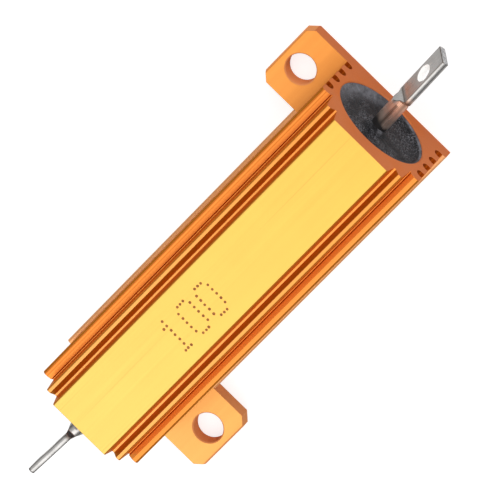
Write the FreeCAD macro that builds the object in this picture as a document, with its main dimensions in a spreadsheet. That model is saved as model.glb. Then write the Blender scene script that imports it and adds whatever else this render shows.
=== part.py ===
"""Aluminium housed wirewound resistor, 50 watt size. Millimetres, +Z up.

The base of the housing stands on z = 0 and is centred on the origin. The terminals lie along X.
"""
import FreeCAD, Part
import math
import os

import Sketcher

# Driving dimensions: alias, value, meaning
DIMENSIONS = [
    ("body_length", 49.2, "length of the extrusion"),
    ("body_height", 15.8, "base to top land"),
    ("body_width", 14.8, "across the tips of the side fins"),
    ("top_width", 8.1, "top land, corner to corner"),
    ("top_flank", 0.35, "how far a flank of the top block leans out"),
    ("notch_drop", 2.05, "top land down to the floor of the notch beside it"),
    ("notch_width", 0.25, "floor of the notch"),
    ("ramp_width", 0.55, "ramp from the notch up to the shoulder"),
    ("shoulder_drop", 1.5, "top land down to the shoulder"),
    ("shoulder_land", 0.5, "flat of the shoulder"),
    ("shoulder_flank", 0.25, "how far the wall under the shoulder leans out"),
    ("root_drop", 4.4, "top land down to the floor of the narrow root beside the shelf"),
    ("root_width", 0.1, "floor of that root"),
    ("root_ramp", 0.12, "ramp from the root up to the shelf"),
    ("shelf_drop", 3.95, "top land down to the crest of the shelf"),
    ("shelf_dip", 0.16, "how far the shelf falls towards its root"),
    ("shelf_slope", 0.447, "share of the shelf's width that falls"),
    ("corner_radius", 0.22, "rounded edges of the top land and the shoulders"),
    ("shelf_radius", 0.4, "rounded outer edge of the shelf"),
    ("groove_count", 4, "lengthwise grooves down each side"),
    ("groove_height", 1.2, "width of one groove"),
    ("groove_depth", 0.95, "fin tip to the bottom of a groove"),
    ("groove_pitch", 2.45, "groove to groove"),
    ("groove_wall", 0.4, "least metal between a groove and the bore"),
    ("flange_thickness", 2.0, "base flange"),
    ("lip_width", 15.8, "base between the ears, side to side"),
    ("ear_span", 26.5, "outer edge of one ear to that of the other"),
    ("ear_length", 8.7, "ear along the body"),
    ("ear_chamfer", 1.0, "clipped corners of an ear"),
    ("flange_radius", 0.3, "rounded upper edge of lip and ears"),
    ("hole_shift_along", 0.25, "mounting hole off the middle of its ear, towards the middle of the body"),
    ("hole_shift_across", 0.175, "mounting hole off the middle of its ear, outward"),
    ("mounting_hole_diameter", 3.6, "clearance for a small machine screw"),
    ("hole_chamfer", 0.12, "broken edges of the mounting holes"),
    ("bore_diameter", 11.8, "lengthwise bore"),
    ("bore_height", 7.3, "base to the axis of the bore"),
    ("bore_chamfer", 0.12, "broken edge of the bore"),
    ("potting_recess", 0.8, "end of the body down to the flat of the compound"),
    ("meniscus_rise", 0.65, "how far the compound climbs the bore"),
    ("meniscus_width", 1.6, "how wide that climb is"),
    ("collar_rise", 0.35, "how far the compound climbs a terminal"),
    ("collar_width", 0.8, "how wide that climb is"),
    ("element_length", 40.0, "across the outer faces of the end caps"),
    ("element_shift", -0.5, "element and terminals off the middle of the body, towards the front"),
    ("core_diameter", 5.0, "ceramic core"),
    ("core_chamfer", 0.3, "broken ends of the core"),
    ("cap_thickness", 0.5, "sheet of an end cap"),
    ("cap_length", 4.5, "end cap along the core"),
    ("ribbon_width", 1.6, "resistance ribbon, along the core"),
    ("ribbon_thickness", 0.3, "the same, out from the core"),
    ("winding_turns", 9, "turns on the core"),
    ("winding_clearance", 0.01, "winding to what is round it"),
    ("overall_length", 72.0, "tip to tip of the terminals"),
    ("stem_diameter", 2.05, "round part of a terminal"),
    ("head_diameter", 3.6, "head of a terminal, welded to the cap"),
    ("head_thickness", 0.6, "that head along the axis"),
    ("lug_length", 6.5, "full flat of a lug"),
    ("press_length", 1.1, "slope from the stem down to the flat"),
    ("lug_width", 3.15, "lug across, over its bulged sides"),
    ("lug_thickness", 0.78, "pressed thickness"),
    ("lug_side_radius", 0.6, "bulge of the long sides"),
    ("lug_tip_chamfer", 0.16, "broken edges of the tip"),
    ("lug_hole_diameter", 2.1, "wire hole of a lug"),
    ("lug_hole_inset", 3.1, "tip to the centre of the hole"),
    ("front_lug_turn", -61.0, "how the front lug is turned about the axis"),
    ("rear_lug_turn", 90.0, "how the rear lug is turned about the axis"),
]

# A sketch's origin, as constraints refer to it
ORIGIN = (-1, 1)

# The way the extrusion runs
X_AXIS = FreeCAD.Vector(1, 0, 0)

# How far a cut runs past the face that it opens
OVERCUT = 1.0

# The steps of the section, from the top land outward
TOP_EDGE = "Sizes.top_width / 2"
NOTCH_ROOT = f"{TOP_EDGE} + Sizes.top_flank"
NOTCH_EDGE = f"{NOTCH_ROOT} + Sizes.notch_width"
SHOULDER_ROOT = f"{NOTCH_EDGE} + Sizes.ramp_width"
SHOULDER_EDGE = f"{SHOULDER_ROOT} + Sizes.shoulder_land"
ROOT_FOOT = f"{SHOULDER_EDGE} + Sizes.shoulder_flank"
ROOT_EDGE = f"{ROOT_FOOT} + Sizes.root_width"
SHELF_LIP = f"{ROOT_EDGE} + Sizes.root_ramp"
SHELF_CREST = f"{SHELF_LIP} + Sizes.shelf_slope * (Sizes.body_width / 2 - ({SHELF_LIP}))"

# The shelf's outer edge is rounded no further in than its flat reaches
SHELF_ROUND = f"min(Sizes.shelf_radius; 0.9 * (Sizes.body_width / 2 - ({SHELF_CREST})))"

# Where the press starts, the lug's section is this wide, just inside the stem
NECK_WIDTH = "0.9 * Sizes.stem_diameter"

# A mounting hole's centre: near the middle of the part of its ear that stands clear of the fins
HOLE_ALONG = "Sizes.body_length / 2 - Sizes.ear_length / 2 - Sizes.hole_shift_along"
HOLE_ACROSS = "(Sizes.body_width + Sizes.ear_span) / 4 + Sizes.hole_shift_across"


def make_sheet(doc):
    """The spreadsheet that drives every sub-part."""
    sheet = doc.addObject("Spreadsheet::Sheet", "Sizes")
    for row, (alias, value, meaning) in enumerate(DIMENSIONS, start=1):
        sheet.set(f"A{row}", meaning)
        sheet.set(f"B{row}", str(value))
        sheet.setAlias(f"B{row}", alias)
    doc.recompute()
    return sheet


def size(sheet, expression):
    """The value of an expression over the sheet, in millimetres."""
    return float(sheet.evalExpression(expression))


def bind(feature, **properties):
    """Tie properties of a feature to expressions over the sheet."""
    for name, expression in properties.items():
        feature.setExpression(name, expression)


def make_body(doc, label):
    body = doc.addObject("PartDesign::Body", label)
    body.Label = label
    return body


def origin_feature(body, role):
    """One of the planes or axes of a body's own origin."""
    return next(item for item in body.Origin.OriginFeatures if item.Role == role)


def make_sketch(body, role, name):
    sketch = body.newObject("Sketcher::SketchObject", name)
    sketch.AttachmentSupport = [(origin_feature(body, role), "")]
    sketch.MapMode = "FlatFace"
    return sketch


def place_point(sketch, geometry, position, across, upward):
    """Hold one point of a sketch at two expressions; a 0 lines it up with the origin."""
    sheet = sketch.Document.Sizes
    for kind, in_line, expression in (("DistanceX", "Vertical", across), ("DistanceY", "Horizontal", upward)):
        if expression == "0":
            sketch.addConstraint(Sketcher.Constraint(in_line, *ORIGIN, geometry, position))
            continue
        value = size(sheet, expression)
        index = sketch.addConstraint(Sketcher.Constraint(kind, *ORIGIN, geometry, position, value))
        sketch.setExpression(f"Constraints[{index}]", expression)


def draw_outline(sketch, corners, closed=True):
    """Straight lines through corners, each a pair of expressions; gives the lines' numbers."""
    sheet = sketch.Document.Sizes
    points = [FreeCAD.Vector(size(sheet, across), size(sheet, upward), 0) for across, upward in corners]
    if closed:
        points.append(points[0])
    lines = [sketch.addGeometry(Part.LineSegment(start, end)) for start, end in zip(points, points[1:])]
    for line, following in zip(lines, lines[1:]):
        sketch.addConstraint(Sketcher.Constraint("Coincident", line, 2, following, 1))
    if closed:
        sketch.addConstraint(Sketcher.Constraint("Coincident", lines[-1], 2, lines[0], 1))
    for line, (across, upward) in zip(lines, corners):
        place_point(sketch, line, 1, across, upward)
    if not closed:
        place_point(sketch, lines[-1], 2, *corners[-1])
    return lines


def draw_circle(sketch, across, upward, diameter):
    sheet = sketch.Document.Sizes
    centre = FreeCAD.Vector(size(sheet, across), size(sheet, upward), 0)
    radius = size(sheet, f"({diameter}) / 2")
    circle = sketch.addGeometry(Part.Circle(centre, FreeCAD.Vector(0, 0, 1), radius))
    index = sketch.addConstraint(Sketcher.Constraint("Diameter", circle, 2 * radius))
    sketch.setExpression(f"Constraints[{index}]", diameter)
    place_point(sketch, circle, 3, across, upward)
    return circle


def join_by_arc(sketch, centre, radius, angles, first, last):
    """Arc from one line's end to another's, its centre held at the first of two expressions."""
    sheet = sketch.Document.Sizes
    across, upward = centre
    middle = FreeCAD.Vector(size(sheet, across), size(sheet, upward), 0)
    circle = Part.Circle(middle, FreeCAD.Vector(0, 0, 1), size(sheet, radius))
    arc = sketch.addGeometry(Part.ArcOfCircle(circle, *angles))
    sketch.addConstraint(Sketcher.Constraint("Coincident", arc, 1, *first))
    sketch.addConstraint(Sketcher.Constraint("Coincident", arc, 2, *last))
    index = sketch.addConstraint(Sketcher.Constraint("DistanceX", *ORIGIN, arc, 3, middle.x))
    sketch.setExpression(f"Constraints[{index}]", across)


def add_feature(body, kind, name, sketch, **settings):
    """One PartDesign feature on a sketch, with its plain settings."""
    feature = body.newObject(kind, name)
    feature.Profile = sketch
    for key, value in settings.items():
        setattr(feature, key, value)
    sketch.Visibility = False
    return feature


def add_pad(body, name, sketch, length, symmetric=True):
    pad = add_feature(body, "PartDesign::Pad", name, sketch)
    pad.SideType = "Symmetric" if symmetric else "One side"
    bind(pad, Length=length)
    return pad


def add_pocket(body, name, sketch):
    """A cut right through, to both sides of the sketch."""
    pocket = add_feature(body, "PartDesign::Pocket", name, sketch)
    pocket.SideType = "Symmetric"
    pocket.Type = "ThroughAll"
    return pocket


def add_turning(body, name, sketch):
    """A full turn of a sketch about the X axis of its body."""
    turning = add_feature(body, "PartDesign::Revolution", name, sketch, Angle=360.0)
    turning.ReferenceAxis = (origin_feature(body, "X_Axis"), [""])
    return turning


def edges_where(shape, test, along=None):
    """Names of the edges whose two ends both pass a test of their place, and that run along an axis."""
    names = []
    for number, edge in enumerate(shape.Edges, start=1):
        if along is not None and abs(edge.tangentAt(edge.FirstParameter).dot(along)) < 0.999:
            continue
        if all(test(vertex.Point) for vertex in edge.Vertexes):
            names.append(f"Edge{number}")
    return names


def dress_edges(body, kind, name, edges, **bindings):
    """A fillet or chamfer on named edges of the body's latest feature."""
    base = body.Tip
    feature = body.newObject(kind, name)
    feature.Base = (base, edges)
    bind(feature, **bindings)
    body.Document.recompute()
    return feature


def near(value, target):
    return abs(value - target) < 1e-4


def build_housing(doc):
    """The extrusion: finned block, base flange with two ears, grooves, bore and mounting holes."""
    sheet = doc.Sizes
    body = make_body(doc, "housing")

    # Section of the finned block, from one foot up over the top land and down the other side
    half = [
        ("Sizes.body_width / 2", "0"),
        ("Sizes.body_width / 2", "Sizes.body_height - Sizes.shelf_drop"),
        (SHELF_CREST, "Sizes.body_height - Sizes.shelf_drop"),
        (SHELF_LIP, "Sizes.body_height - Sizes.shelf_drop - Sizes.shelf_dip"),
        (ROOT_EDGE, "Sizes.body_height - Sizes.root_drop"),
        (ROOT_FOOT, "Sizes.body_height - Sizes.root_drop"),
        (SHOULDER_EDGE, "Sizes.body_height - Sizes.shoulder_drop"),
        (SHOULDER_ROOT, "Sizes.body_height - Sizes.shoulder_drop"),
        (NOTCH_EDGE, "Sizes.body_height - Sizes.notch_drop"),
        (NOTCH_ROOT, "Sizes.body_height - Sizes.notch_drop"),
        (TOP_EDGE, "Sizes.body_height"),
    ]
    other_half = [(f"-({across})", upward) for across, upward in reversed(half)]
    section = make_sketch(body, "YZ_Plane", "BlockSection")
    draw_outline(section, half + other_half)
    add_pad(body, "Block", section, "Sizes.body_length")

    # Base flange in plan: a narrow lip all along, and an ear at two opposite corners
    near_corner = [
        ("Sizes.body_length / 2", "-Sizes.lip_width / 2"),
        ("Sizes.body_length / 2", "Sizes.ear_span / 2 - Sizes.ear_chamfer"),
        ("Sizes.body_length / 2 - Sizes.ear_chamfer", "Sizes.ear_span / 2"),
        ("Sizes.body_length / 2 - Sizes.ear_length + Sizes.ear_chamfer", "Sizes.ear_span / 2"),
        ("Sizes.body_length / 2 - Sizes.ear_length", "Sizes.ear_span / 2 - Sizes.ear_chamfer"),
        ("Sizes.body_length / 2 - Sizes.ear_length", "Sizes.lip_width / 2"),
    ]
    far_corner = [(f"-({along})", f"-({across})") for along, across in near_corner]
    plan = make_sketch(body, "XY_Plane", "FlangePlan")
    draw_outline(plan, near_corner + far_corner)
    add_pad(body, "Flange", plan, "Sizes.flange_thickness", symmetric=False)

    # Grooves: the lowest one on each side, its floor level with the flange, then repeated upward,
    # as many as leave a fin under the shelf that its rounded edge fits on
    slot = make_sketch(body, "YZ_Plane", "GrooveSection")
    for side in (1, -1):
        draw_groove(slot, side)
    grooves = add_pocket(body, "LowestGrooves", slot)
    doc.recompute()
    pattern = body.newObject("PartDesign::LinearPattern", "Grooves")
    pattern.Originals = [grooves]
    pattern.Direction = (origin_feature(body, "Z_Axis"), [""])
    pattern.Mode = "Spacing"
    room = ("Sizes.body_height - Sizes.shelf_drop - 2 * Sizes.shelf_radius"
            " - Sizes.groove_height - Sizes.flange_thickness")
    fitting = f"floor(({room}) / Sizes.groove_pitch) + 1"
    bind(pattern, Offset="Sizes.groove_pitch", Occurrences=f"min(Sizes.groove_count; {fitting})")
    body.Tip = pattern

    bore = make_sketch(body, "YZ_Plane", "BoreSection")
    draw_circle(bore, "0", "Sizes.bore_height", "Sizes.bore_diameter")
    add_pocket(body, "Bore", bore)

    holes = make_sketch(body, "XY_Plane", "MountingHoles")
    for sign in ("", "-"):
        draw_circle(holes, f"{sign}({HOLE_ALONG})", f"{sign}({HOLE_ACROSS})", "Sizes.mounting_hole_diameter")
    add_pocket(body, "Holes", holes)
    doc.recompute()

    round_housing(sheet, body)
    return body


def draw_groove(sketch, side):
    """One groove of the section, with a round bottom that keeps clear of the bore, open towards a side."""
    sign = "" if side > 0 else "-"
    mouth = f"{sign}(Sizes.body_width / 2 + {OVERCUT})"
    bottom = "max(Sizes.body_width / 2 - Sizes.groove_depth; Sizes.bore_diameter / 2 + Sizes.groove_wall)"
    bottom_centre = f"{sign}({bottom} + Sizes.groove_height / 2)"
    floor = "Sizes.flange_thickness"
    roof = "Sizes.flange_thickness + Sizes.groove_height"
    lower, _, upper = draw_outline(
        sketch, [(bottom_centre, floor), (mouth, floor), (mouth, roof), (bottom_centre, roof)], closed=False
    )
    centre = (bottom_centre, f"({floor} + {roof}) / 2")
    if side > 0:
        angles = (math.pi / 2, 3 * math.pi / 2)
        ends = ((upper, 2), (lower, 1))
    else:
        angles = (-math.pi / 2, math.pi / 2)
        ends = ((lower, 1), (upper, 2))
    join_by_arc(sketch, centre, "Sizes.groove_height / 2", angles, *ends)


def round_housing(sheet, body):
    """Small radii of the extrusion's edges, and the broken edge of the bore."""
    height = size(sheet, "Sizes.body_height")
    shoulder = size(sheet, "Sizes.body_height - Sizes.shoulder_drop")
    shelf = size(sheet, "Sizes.body_height - Sizes.shelf_drop")
    top_half = size(sheet, TOP_EDGE)
    shoulder_half = size(sheet, SHOULDER_EDGE)
    shelf_half = size(sheet, "Sizes.body_width / 2")
    end = size(sheet, "Sizes.body_length / 2")
    flange = size(sheet, "Sizes.flange_thickness")
    lip_half = size(sheet, "Sizes.lip_width / 2")
    ear_half = size(sheet, "Sizes.ear_span / 2")
    bore_height = size(sheet, "Sizes.bore_height")
    bore_radius = size(sheet, "Sizes.bore_diameter / 2")
    hole_radius = size(sheet, "Sizes.mounting_hole_diameter / 2")
    hole_along = size(sheet, HOLE_ALONG)
    hole_across = size(sheet, HOLE_ACROSS)

    def small_corner(point):
        on_top = near(point.z, height) and near(abs(point.y), top_half)
        on_shoulder = near(point.z, shoulder) and near(abs(point.y), shoulder_half)
        return on_top or on_shoulder

    def shelf_corner(point):
        return near(point.z, shelf) and near(abs(point.y), shelf_half)

    def flange_corner(point):
        return near(point.z, flange) and (near(abs(point.y), lip_half) or near(abs(point.y), ear_half))

    def bore_rim(point):
        from_axis = ((point.z - bore_height) ** 2 + point.y ** 2) ** 0.5
        return near(abs(point.x), end) and near(from_axis, bore_radius)

    def hole_rim(point):
        sign = 1 if point.x > 0 else -1
        from_centre = ((point.x - sign * hole_along) ** 2 + (point.y - sign * hole_across) ** 2) ** 0.5
        return (near(point.z, flange) or near(point.z, 0)) and near(from_centre, hole_radius)

    # The flange's radius takes at most half of the metal between a hole and the edge of its ear
    ear_wall = (f"Sizes.ear_span / 2 - ({HOLE_ACROSS})"
                " - Sizes.mounting_hole_diameter / 2 - Sizes.hole_chamfer")
    along = [(small_corner, "CornerRounds", "Sizes.corner_radius"),
             (shelf_corner, "ShelfRounds", SHELF_ROUND),
             (flange_corner, "FlangeRounds", f"min(Sizes.flange_radius; ({ear_wall}) / 2)")]
    for test, name, radius in along:
        edges = edges_where(body.Tip.Shape, test, along=X_AXIS)
        dress_edges(body, "PartDesign::Fillet", name, edges, Radius=radius)
    for test, name, width in ((bore_rim, "BoreRims", "Sizes.bore_chamfer"),
                              (hole_rim, "HoleRims", "Sizes.hole_chamfer")):
        rims = edges_where(body.Tip.Shape, test)
        dress_edges(body, "PartDesign::Chamfer", name, rims, Size=width)


def build_potting(doc):
    """The filler: turned to the bore's size, dished at both ends, hollow where the element sits."""
    body = make_body(doc, "potting_compound")
    flat = "Sizes.body_length / 2 - Sizes.potting_recess"
    dish = [
        (f"{flat} + Sizes.collar_rise", "Sizes.stem_diameter / 2"),
        (flat, "Sizes.stem_diameter / 2 + Sizes.collar_width"),
        (flat, "Sizes.bore_diameter / 2 - Sizes.meniscus_width"),
        (f"{flat} + Sizes.meniscus_rise", "Sizes.bore_diameter / 2"),
    ]
    other_dish = [(f"-({along})", radius) for along, radius in reversed(dish)]

    # Half of the hollow, from the winding out to the terminal's head and stem
    cap_face = "Sizes.element_length / 2"
    cap_rim = f"{cap_face} - Sizes.cap_length"
    head_face = f"{cap_face} + Sizes.head_thickness"
    cap_radius = "Sizes.core_diameter / 2 + Sizes.cap_thickness"
    hollow = [
        (cap_rim, "Sizes.core_diameter / 2 + Sizes.ribbon_thickness + 2 * Sizes.winding_clearance"),
        (cap_rim, cap_radius),
        (cap_face, cap_radius),
        (cap_face, "Sizes.head_diameter / 2"),
        (head_face, "Sizes.head_diameter / 2"),
        (head_face, "Sizes.stem_diameter / 2"),
    ]
    other_hollow = [(f"-({along})", radius) for along, radius in reversed(hollow)]
    inside = [(f"{along} + Sizes.element_shift", radius) for along, radius in other_hollow + hollow]

    section = make_sketch(body, "XZ_Plane", "FillerSection")
    draw_dished_outline(section, dish + other_dish + inside)
    add_turning(body, "Filler", section)
    raise_to_bore(body)
    return body


def draw_dished_outline(sketch, corners):
    """Closed outline of the filler; the third line and the fifth are smooth climbs up the bore."""
    sheet = sketch.Document.Sizes
    points = [FreeCAD.Vector(size(sheet, along), size(sheet, radius), 0) for along, radius in corners]
    points.append(points[0])
    front_climb, rear_climb = 2, 4
    pieces = []
    for number, (start, end) in enumerate(zip(points, points[1:])):
        if number == front_climb:
            pieces.append(draw_climb(sketch, start, end, corners[number][1]))
        elif number == rear_climb:
            pieces.append(draw_climb(sketch, end, start, corners[number + 1][1])[::-1])
        else:
            line = sketch.addGeometry(Part.LineSegment(start, end))
            pieces.append(((line, 1), (line, 2)))
    for piece, following in zip(pieces, pieces[1:] + pieces[:1]):
        sketch.addConstraint(Sketcher.Constraint("Coincident", *piece[1], *following[0]))
    for piece, (along, radius) in zip(pieces, corners):
        place_point(sketch, *piece[0], along, radius)


def draw_climb(sketch, flat_end, raised_end, flat_radius):
    """Arc that leaves a flat across the axis smoothly and climbs to a point; gives its two ends."""
    rise = raised_end.x - flat_end.x
    width = raised_end.y - flat_end.y
    radius = (rise ** 2 + width ** 2) / (2 * rise)
    centre = FreeCAD.Vector(flat_end.x + radius, flat_end.y, 0)
    towards = (flat_end - centre).normalize() + (raised_end - centre).normalize()
    middle = centre + towards.normalize() * abs(radius)
    arc = sketch.addGeometry(Part.Arc(flat_end, middle, raised_end))
    index = sketch.addConstraint(Sketcher.Constraint("DistanceY", *ORIGIN, arc, 3, centre.y))
    sketch.setExpression(f"Constraints[{index}]", flat_radius)
    first, last = (1, 2) if sketch.getPoint(arc, 1).isEqual(flat_end, 1e-6) else (2, 1)
    return (arc, first), (arc, last)


def raise_to_bore(body):
    """Put a body that is drawn about the X axis on the axis of the bore."""
    bind(body, **{"Placement.Base.z": "Sizes.bore_height"})


def shift_with_element(body):
    """Move a body along the bore as far as the element is off the middle."""
    bind(body, **{"Placement.Base.x": "Sizes.element_shift"})


def build_core(doc):
    """The ceramic rod between the closed ends of the caps."""
    body = make_body(doc, "ceramic_core")
    section = make_sketch(body, "YZ_Plane", "CoreSection")
    draw_circle(section, "0", "0", "Sizes.core_diameter")
    add_pad(body, "Rod", section, "Sizes.element_length - 2 * Sizes.cap_thickness")
    doc.recompute()
    rims = [f"Edge{number}" for number, edge in enumerate(body.Tip.Shape.Edges, start=1)
            if edge.Closed]
    dress_edges(body, "PartDesign::Chamfer", "RodEnds", rims, Size="Sizes.core_chamfer")
    raise_to_bore(body)
    shift_with_element(body)
    return body


def build_winding(doc):
    """The resistance ribbon: one helix on the core, from the rim of one cap to that of the other."""
    body = make_body(doc, "resistance_winding")
    rim = "-(Sizes.element_length / 2 - Sizes.cap_length)"
    inside = "Sizes.core_diameter / 2 + Sizes.winding_clearance"
    section = make_sketch(body, "XZ_Plane", "RibbonSection")
    draw_outline(section, [
        (rim, inside),
        (f"{rim} + Sizes.ribbon_width", inside),
        (f"{rim} + Sizes.ribbon_width", f"{inside} + Sizes.ribbon_thickness"),
        (rim, f"{inside} + Sizes.ribbon_thickness"),
    ])
    helix = body.newObject("PartDesign::AdditiveHelix", "Winding")
    helix.Profile = section
    helix.ReferenceAxis = (origin_feature(body, "X_Axis"), [""])
    helix.Mode = "height-turns-angle"
    height = "Sizes.element_length - 2 * Sizes.cap_length - Sizes.ribbon_width"
    bind(helix, Height=height, Turns="Sizes.winding_turns")
    section.Visibility = False
    raise_to_bore(body)
    shift_with_element(body)
    return body


def build_cap(doc, label, turn):
    """A drawn cup pressed over one end of the core."""
    body = make_body(doc, label)
    outer = "Sizes.element_length / 2"
    section = make_sketch(body, "XZ_Plane", "CupSection")
    draw_outline(section, [
        (f"{outer}", "0"),
        (f"{outer}", "Sizes.core_diameter / 2 + Sizes.cap_thickness"),
        (f"{outer} - Sizes.cap_length", "Sizes.core_diameter / 2 + Sizes.cap_thickness"),
        (f"{outer} - Sizes.cap_length", "Sizes.core_diameter / 2"),
        (f"{outer} - Sizes.cap_thickness", "Sizes.core_diameter / 2"),
        (f"{outer} - Sizes.cap_thickness", "0"),
    ])
    add_turning(body, "Cup", section)
    doc.recompute()
    place_end(body, turn, "0")
    return body


def build_terminal(doc, label, turn, roll):
    """A headed pin welded to its cap, its outer end pressed flat into a lug with a hole."""
    body = make_body(doc, label)
    cap_face = "Sizes.element_length / 2"
    tip = "Sizes.overall_length / 2"
    flat_start = f"({tip} - Sizes.lug_length)"
    press_start = f"({flat_start} - Sizes.press_length)"
    stem_radius = "Sizes.stem_diameter / 2"

    pin = make_sketch(body, "XZ_Plane", "PinSection")
    draw_outline(pin, [
        (cap_face, "0"),
        (cap_face, "Sizes.head_diameter / 2"),
        (f"{cap_face} + Sizes.head_thickness", "Sizes.head_diameter / 2"),
        (f"{cap_face} + Sizes.head_thickness", stem_radius),
        (flat_start, stem_radius),
        (flat_start, "0"),
    ])
    add_turning(body, "Pin", pin)

    # The press: two wedges cut from the stem, one on each side of the lug's plane
    wedges = make_sketch(body, "XZ_Plane", "PressWedges")
    for sign in ("", "-"):
        draw_outline(wedges, [
            (press_start, f"{sign}{stem_radius}"),
            (flat_start, f"{sign}Sizes.lug_thickness / 2"),
            (f"{flat_start} + {OVERCUT}", f"{sign}Sizes.lug_thickness / 2"),
            (f"{flat_start} + {OVERCUT}", f"{sign}({stem_radius} + {OVERCUT})"),
            (press_start, f"{sign}({stem_radius} + {OVERCUT})"),
        ])
    add_pocket(body, "Press", wedges)

    # The lug: its section is already full where the press ends, and narrows into the stem behind that
    neck = make_pressed_section(body, "Neck", press_start, NECK_WIDTH, f"({NECK_WIDTH}) / 2")
    blade = make_pressed_section(body, "Blade", flat_start, "Sizes.lug_width", "Sizes.lug_side_radius")
    spread = add_feature(body, "PartDesign::AdditiveLoft", "Spread", neck, Ruled=True)
    spread.Sections = [blade]
    add_pad(body, "Lug", blade, "Sizes.lug_length", symmetric=False)
    doc.recompute()

    # The broken edge of a bulged side keeps outside the flats
    tip_at = size(doc.Sizes, tip)
    tip_edges = edges_where(body.Tip.Shape, lambda point: near(point.x, tip_at))
    bulge_room = "Sizes.lug_side_radius - Sizes.lug_thickness / 2"
    width = f"min(Sizes.lug_tip_chamfer; 0.9 * ({bulge_room}))"
    dress_edges(body, "PartDesign::Chamfer", "TipEdges", tip_edges, Size=width)
    hole = make_sketch(body, "XY_Plane", "WireHoleSection")
    draw_circle(hole, f"{tip} - Sizes.lug_hole_inset", "0", "Sizes.lug_hole_diameter")
    add_pocket(body, "WireHole", hole)
    place_end(body, turn, roll)
    return body


def make_pressed_section(body, name, along, width, side_radius):
    """Section of a pressed wire at a place along it: two flats, and sides that bulge to a width."""
    sheet = body.Document.Sizes
    sketch = make_sketch(body, "YZ_Plane", f"{name}Section")
    bind(sketch, **{"AttachmentOffset.Base.z": along})
    face = "Sizes.lug_thickness / 2"
    centre = f"({width}) / 2 - ({side_radius})"
    edge = f"{centre} + sqrt(({side_radius}) ^ 2 - ({face}) ^ 2)"
    lower, = draw_outline(sketch, [(f"-({edge})", f"-{face}"), (edge, f"-{face}")], closed=False)
    upper, = draw_outline(sketch, [(edge, face), (f"-({edge})", face)], closed=False)
    reach = math.asin(size(sheet, face) / size(sheet, side_radius))
    join_by_arc(sketch, (centre, "0"), side_radius, (-reach, reach), (lower, 2), (upper, 1))
    join_by_arc(sketch, (f"-({centre})", "0"), side_radius, (math.pi - reach, math.pi + reach),
                (upper, 2), (lower, 1))
    return sketch


def place_end(body, turn, roll):
    """Put an end piece on the bore's axis, turned to its end of the body and rolled about the axis."""
    place = "vector(Sizes.element_shift; 0; Sizes.bore_height)"
    to_axis = f"placement({place}; rotation(vector(0; 0; 1); {turn}))"
    rolled = f"placement(vector(0; 0; 0); rotation(vector(1; 0; 0); {roll}))"
    body.setExpression("Placement", f"{to_axis} * {rolled}")


def check_model(doc, bodies):
    """Stop if a feature failed or a solid is not whole."""
    for item in doc.Objects:
        if "Invalid" in item.State or "Error" in item.State:
            raise RuntimeError(f"{item.Label} failed: {item.State}")
    for body in bodies:
        shape = body.Shape
        if shape.isNull() or not shape.isValid() or len(shape.Solids) != 1:
            raise RuntimeError(f"{body.Label} is not one valid solid")


def main():
    doc = FreeCAD.newDocument("HousedResistor")
    make_sheet(doc)
    bodies = [
        build_housing(doc),
        build_potting(doc),
        build_core(doc),
        build_winding(doc),
        build_cap(doc, "end_cap_front", 0),
        build_cap(doc, "end_cap_rear", 180),
        build_terminal(doc, "terminal_front", 0, "Sizes.front_lug_turn"),
        build_terminal(doc, "terminal_rear", 180, "Sizes.rear_lug_turn"),
    ]
    doc.recompute()
    check_model(doc, bodies)
    os.makedirs("parts", exist_ok=True)
    for body in bodies:
        body.Shape.exportStep(f"parts/{body.Label}.step")
        box = body.Shape.optimalBoundingBox()
        print(body.Label, round(body.Shape.Volume, 2), "mm3,", len(body.Shape.Faces), "faces,",
              "X", round(box.XMin, 2), round(box.XMax, 2), "Y", round(box.YMin, 2), round(box.YMax, 2),
              "Z", round(box.ZMin, 2), round(box.ZMax, 2))


main()
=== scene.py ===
import math
from types import SimpleNamespace

import bpy
from bpy.props import FloatProperty, FloatVectorProperty, IntProperty, PointerProperty, StringProperty
from mathutils import Matrix, Vector, noise as value_noise


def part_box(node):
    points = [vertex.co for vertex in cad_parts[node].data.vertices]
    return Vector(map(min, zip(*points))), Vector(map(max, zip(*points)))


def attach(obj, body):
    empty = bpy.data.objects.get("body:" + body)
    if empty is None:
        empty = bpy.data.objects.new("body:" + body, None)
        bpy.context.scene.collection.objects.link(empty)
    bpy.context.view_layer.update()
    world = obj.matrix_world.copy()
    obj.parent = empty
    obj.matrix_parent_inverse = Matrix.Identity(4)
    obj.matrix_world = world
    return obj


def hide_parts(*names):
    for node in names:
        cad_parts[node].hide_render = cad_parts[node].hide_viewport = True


bl_info = {
    "name": "Aluminium Housed Resistor",
    "version": (1, 0, 0),
    "blender": (4, 5, 0),
    "location": "3D View > Sidebar > Resistor",
    "description": "Terminals, finishes, dotted marking and studio of a gold anodised wirewound resistor",
    "category": "Object",
}

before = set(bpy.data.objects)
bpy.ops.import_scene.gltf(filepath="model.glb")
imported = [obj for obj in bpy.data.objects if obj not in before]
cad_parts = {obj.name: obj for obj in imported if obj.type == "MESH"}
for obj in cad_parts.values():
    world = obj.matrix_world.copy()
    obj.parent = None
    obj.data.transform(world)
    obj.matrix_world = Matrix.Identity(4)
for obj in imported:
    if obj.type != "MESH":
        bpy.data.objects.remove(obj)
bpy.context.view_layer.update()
top_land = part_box("housing")[1].z
cad_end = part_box("housing")[1].x
filler_low, filler_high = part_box("potting_compound")
bore_axis = (filler_low.z + filler_high.z) / 2
bore_radius = (filler_high.z - filler_low.z) / 2

MILLIMETRE = 0.001

# How finely the terminals are drawn: round their outline and hole, along the press and the lug
ROUND_POINTS = 96
HOLE_POINTS = 48
STEM_STEPS = 14
PRESS_STEPS = 26
LUG_STEPS = 12
TIP_STEPS = 5

# How far round a rounded tip goes, and the angle past which an edge of a terminal is sharp
TIP_ANGLE = math.radians(75)
SHARP_ANGLE = math.radians(40)

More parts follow.
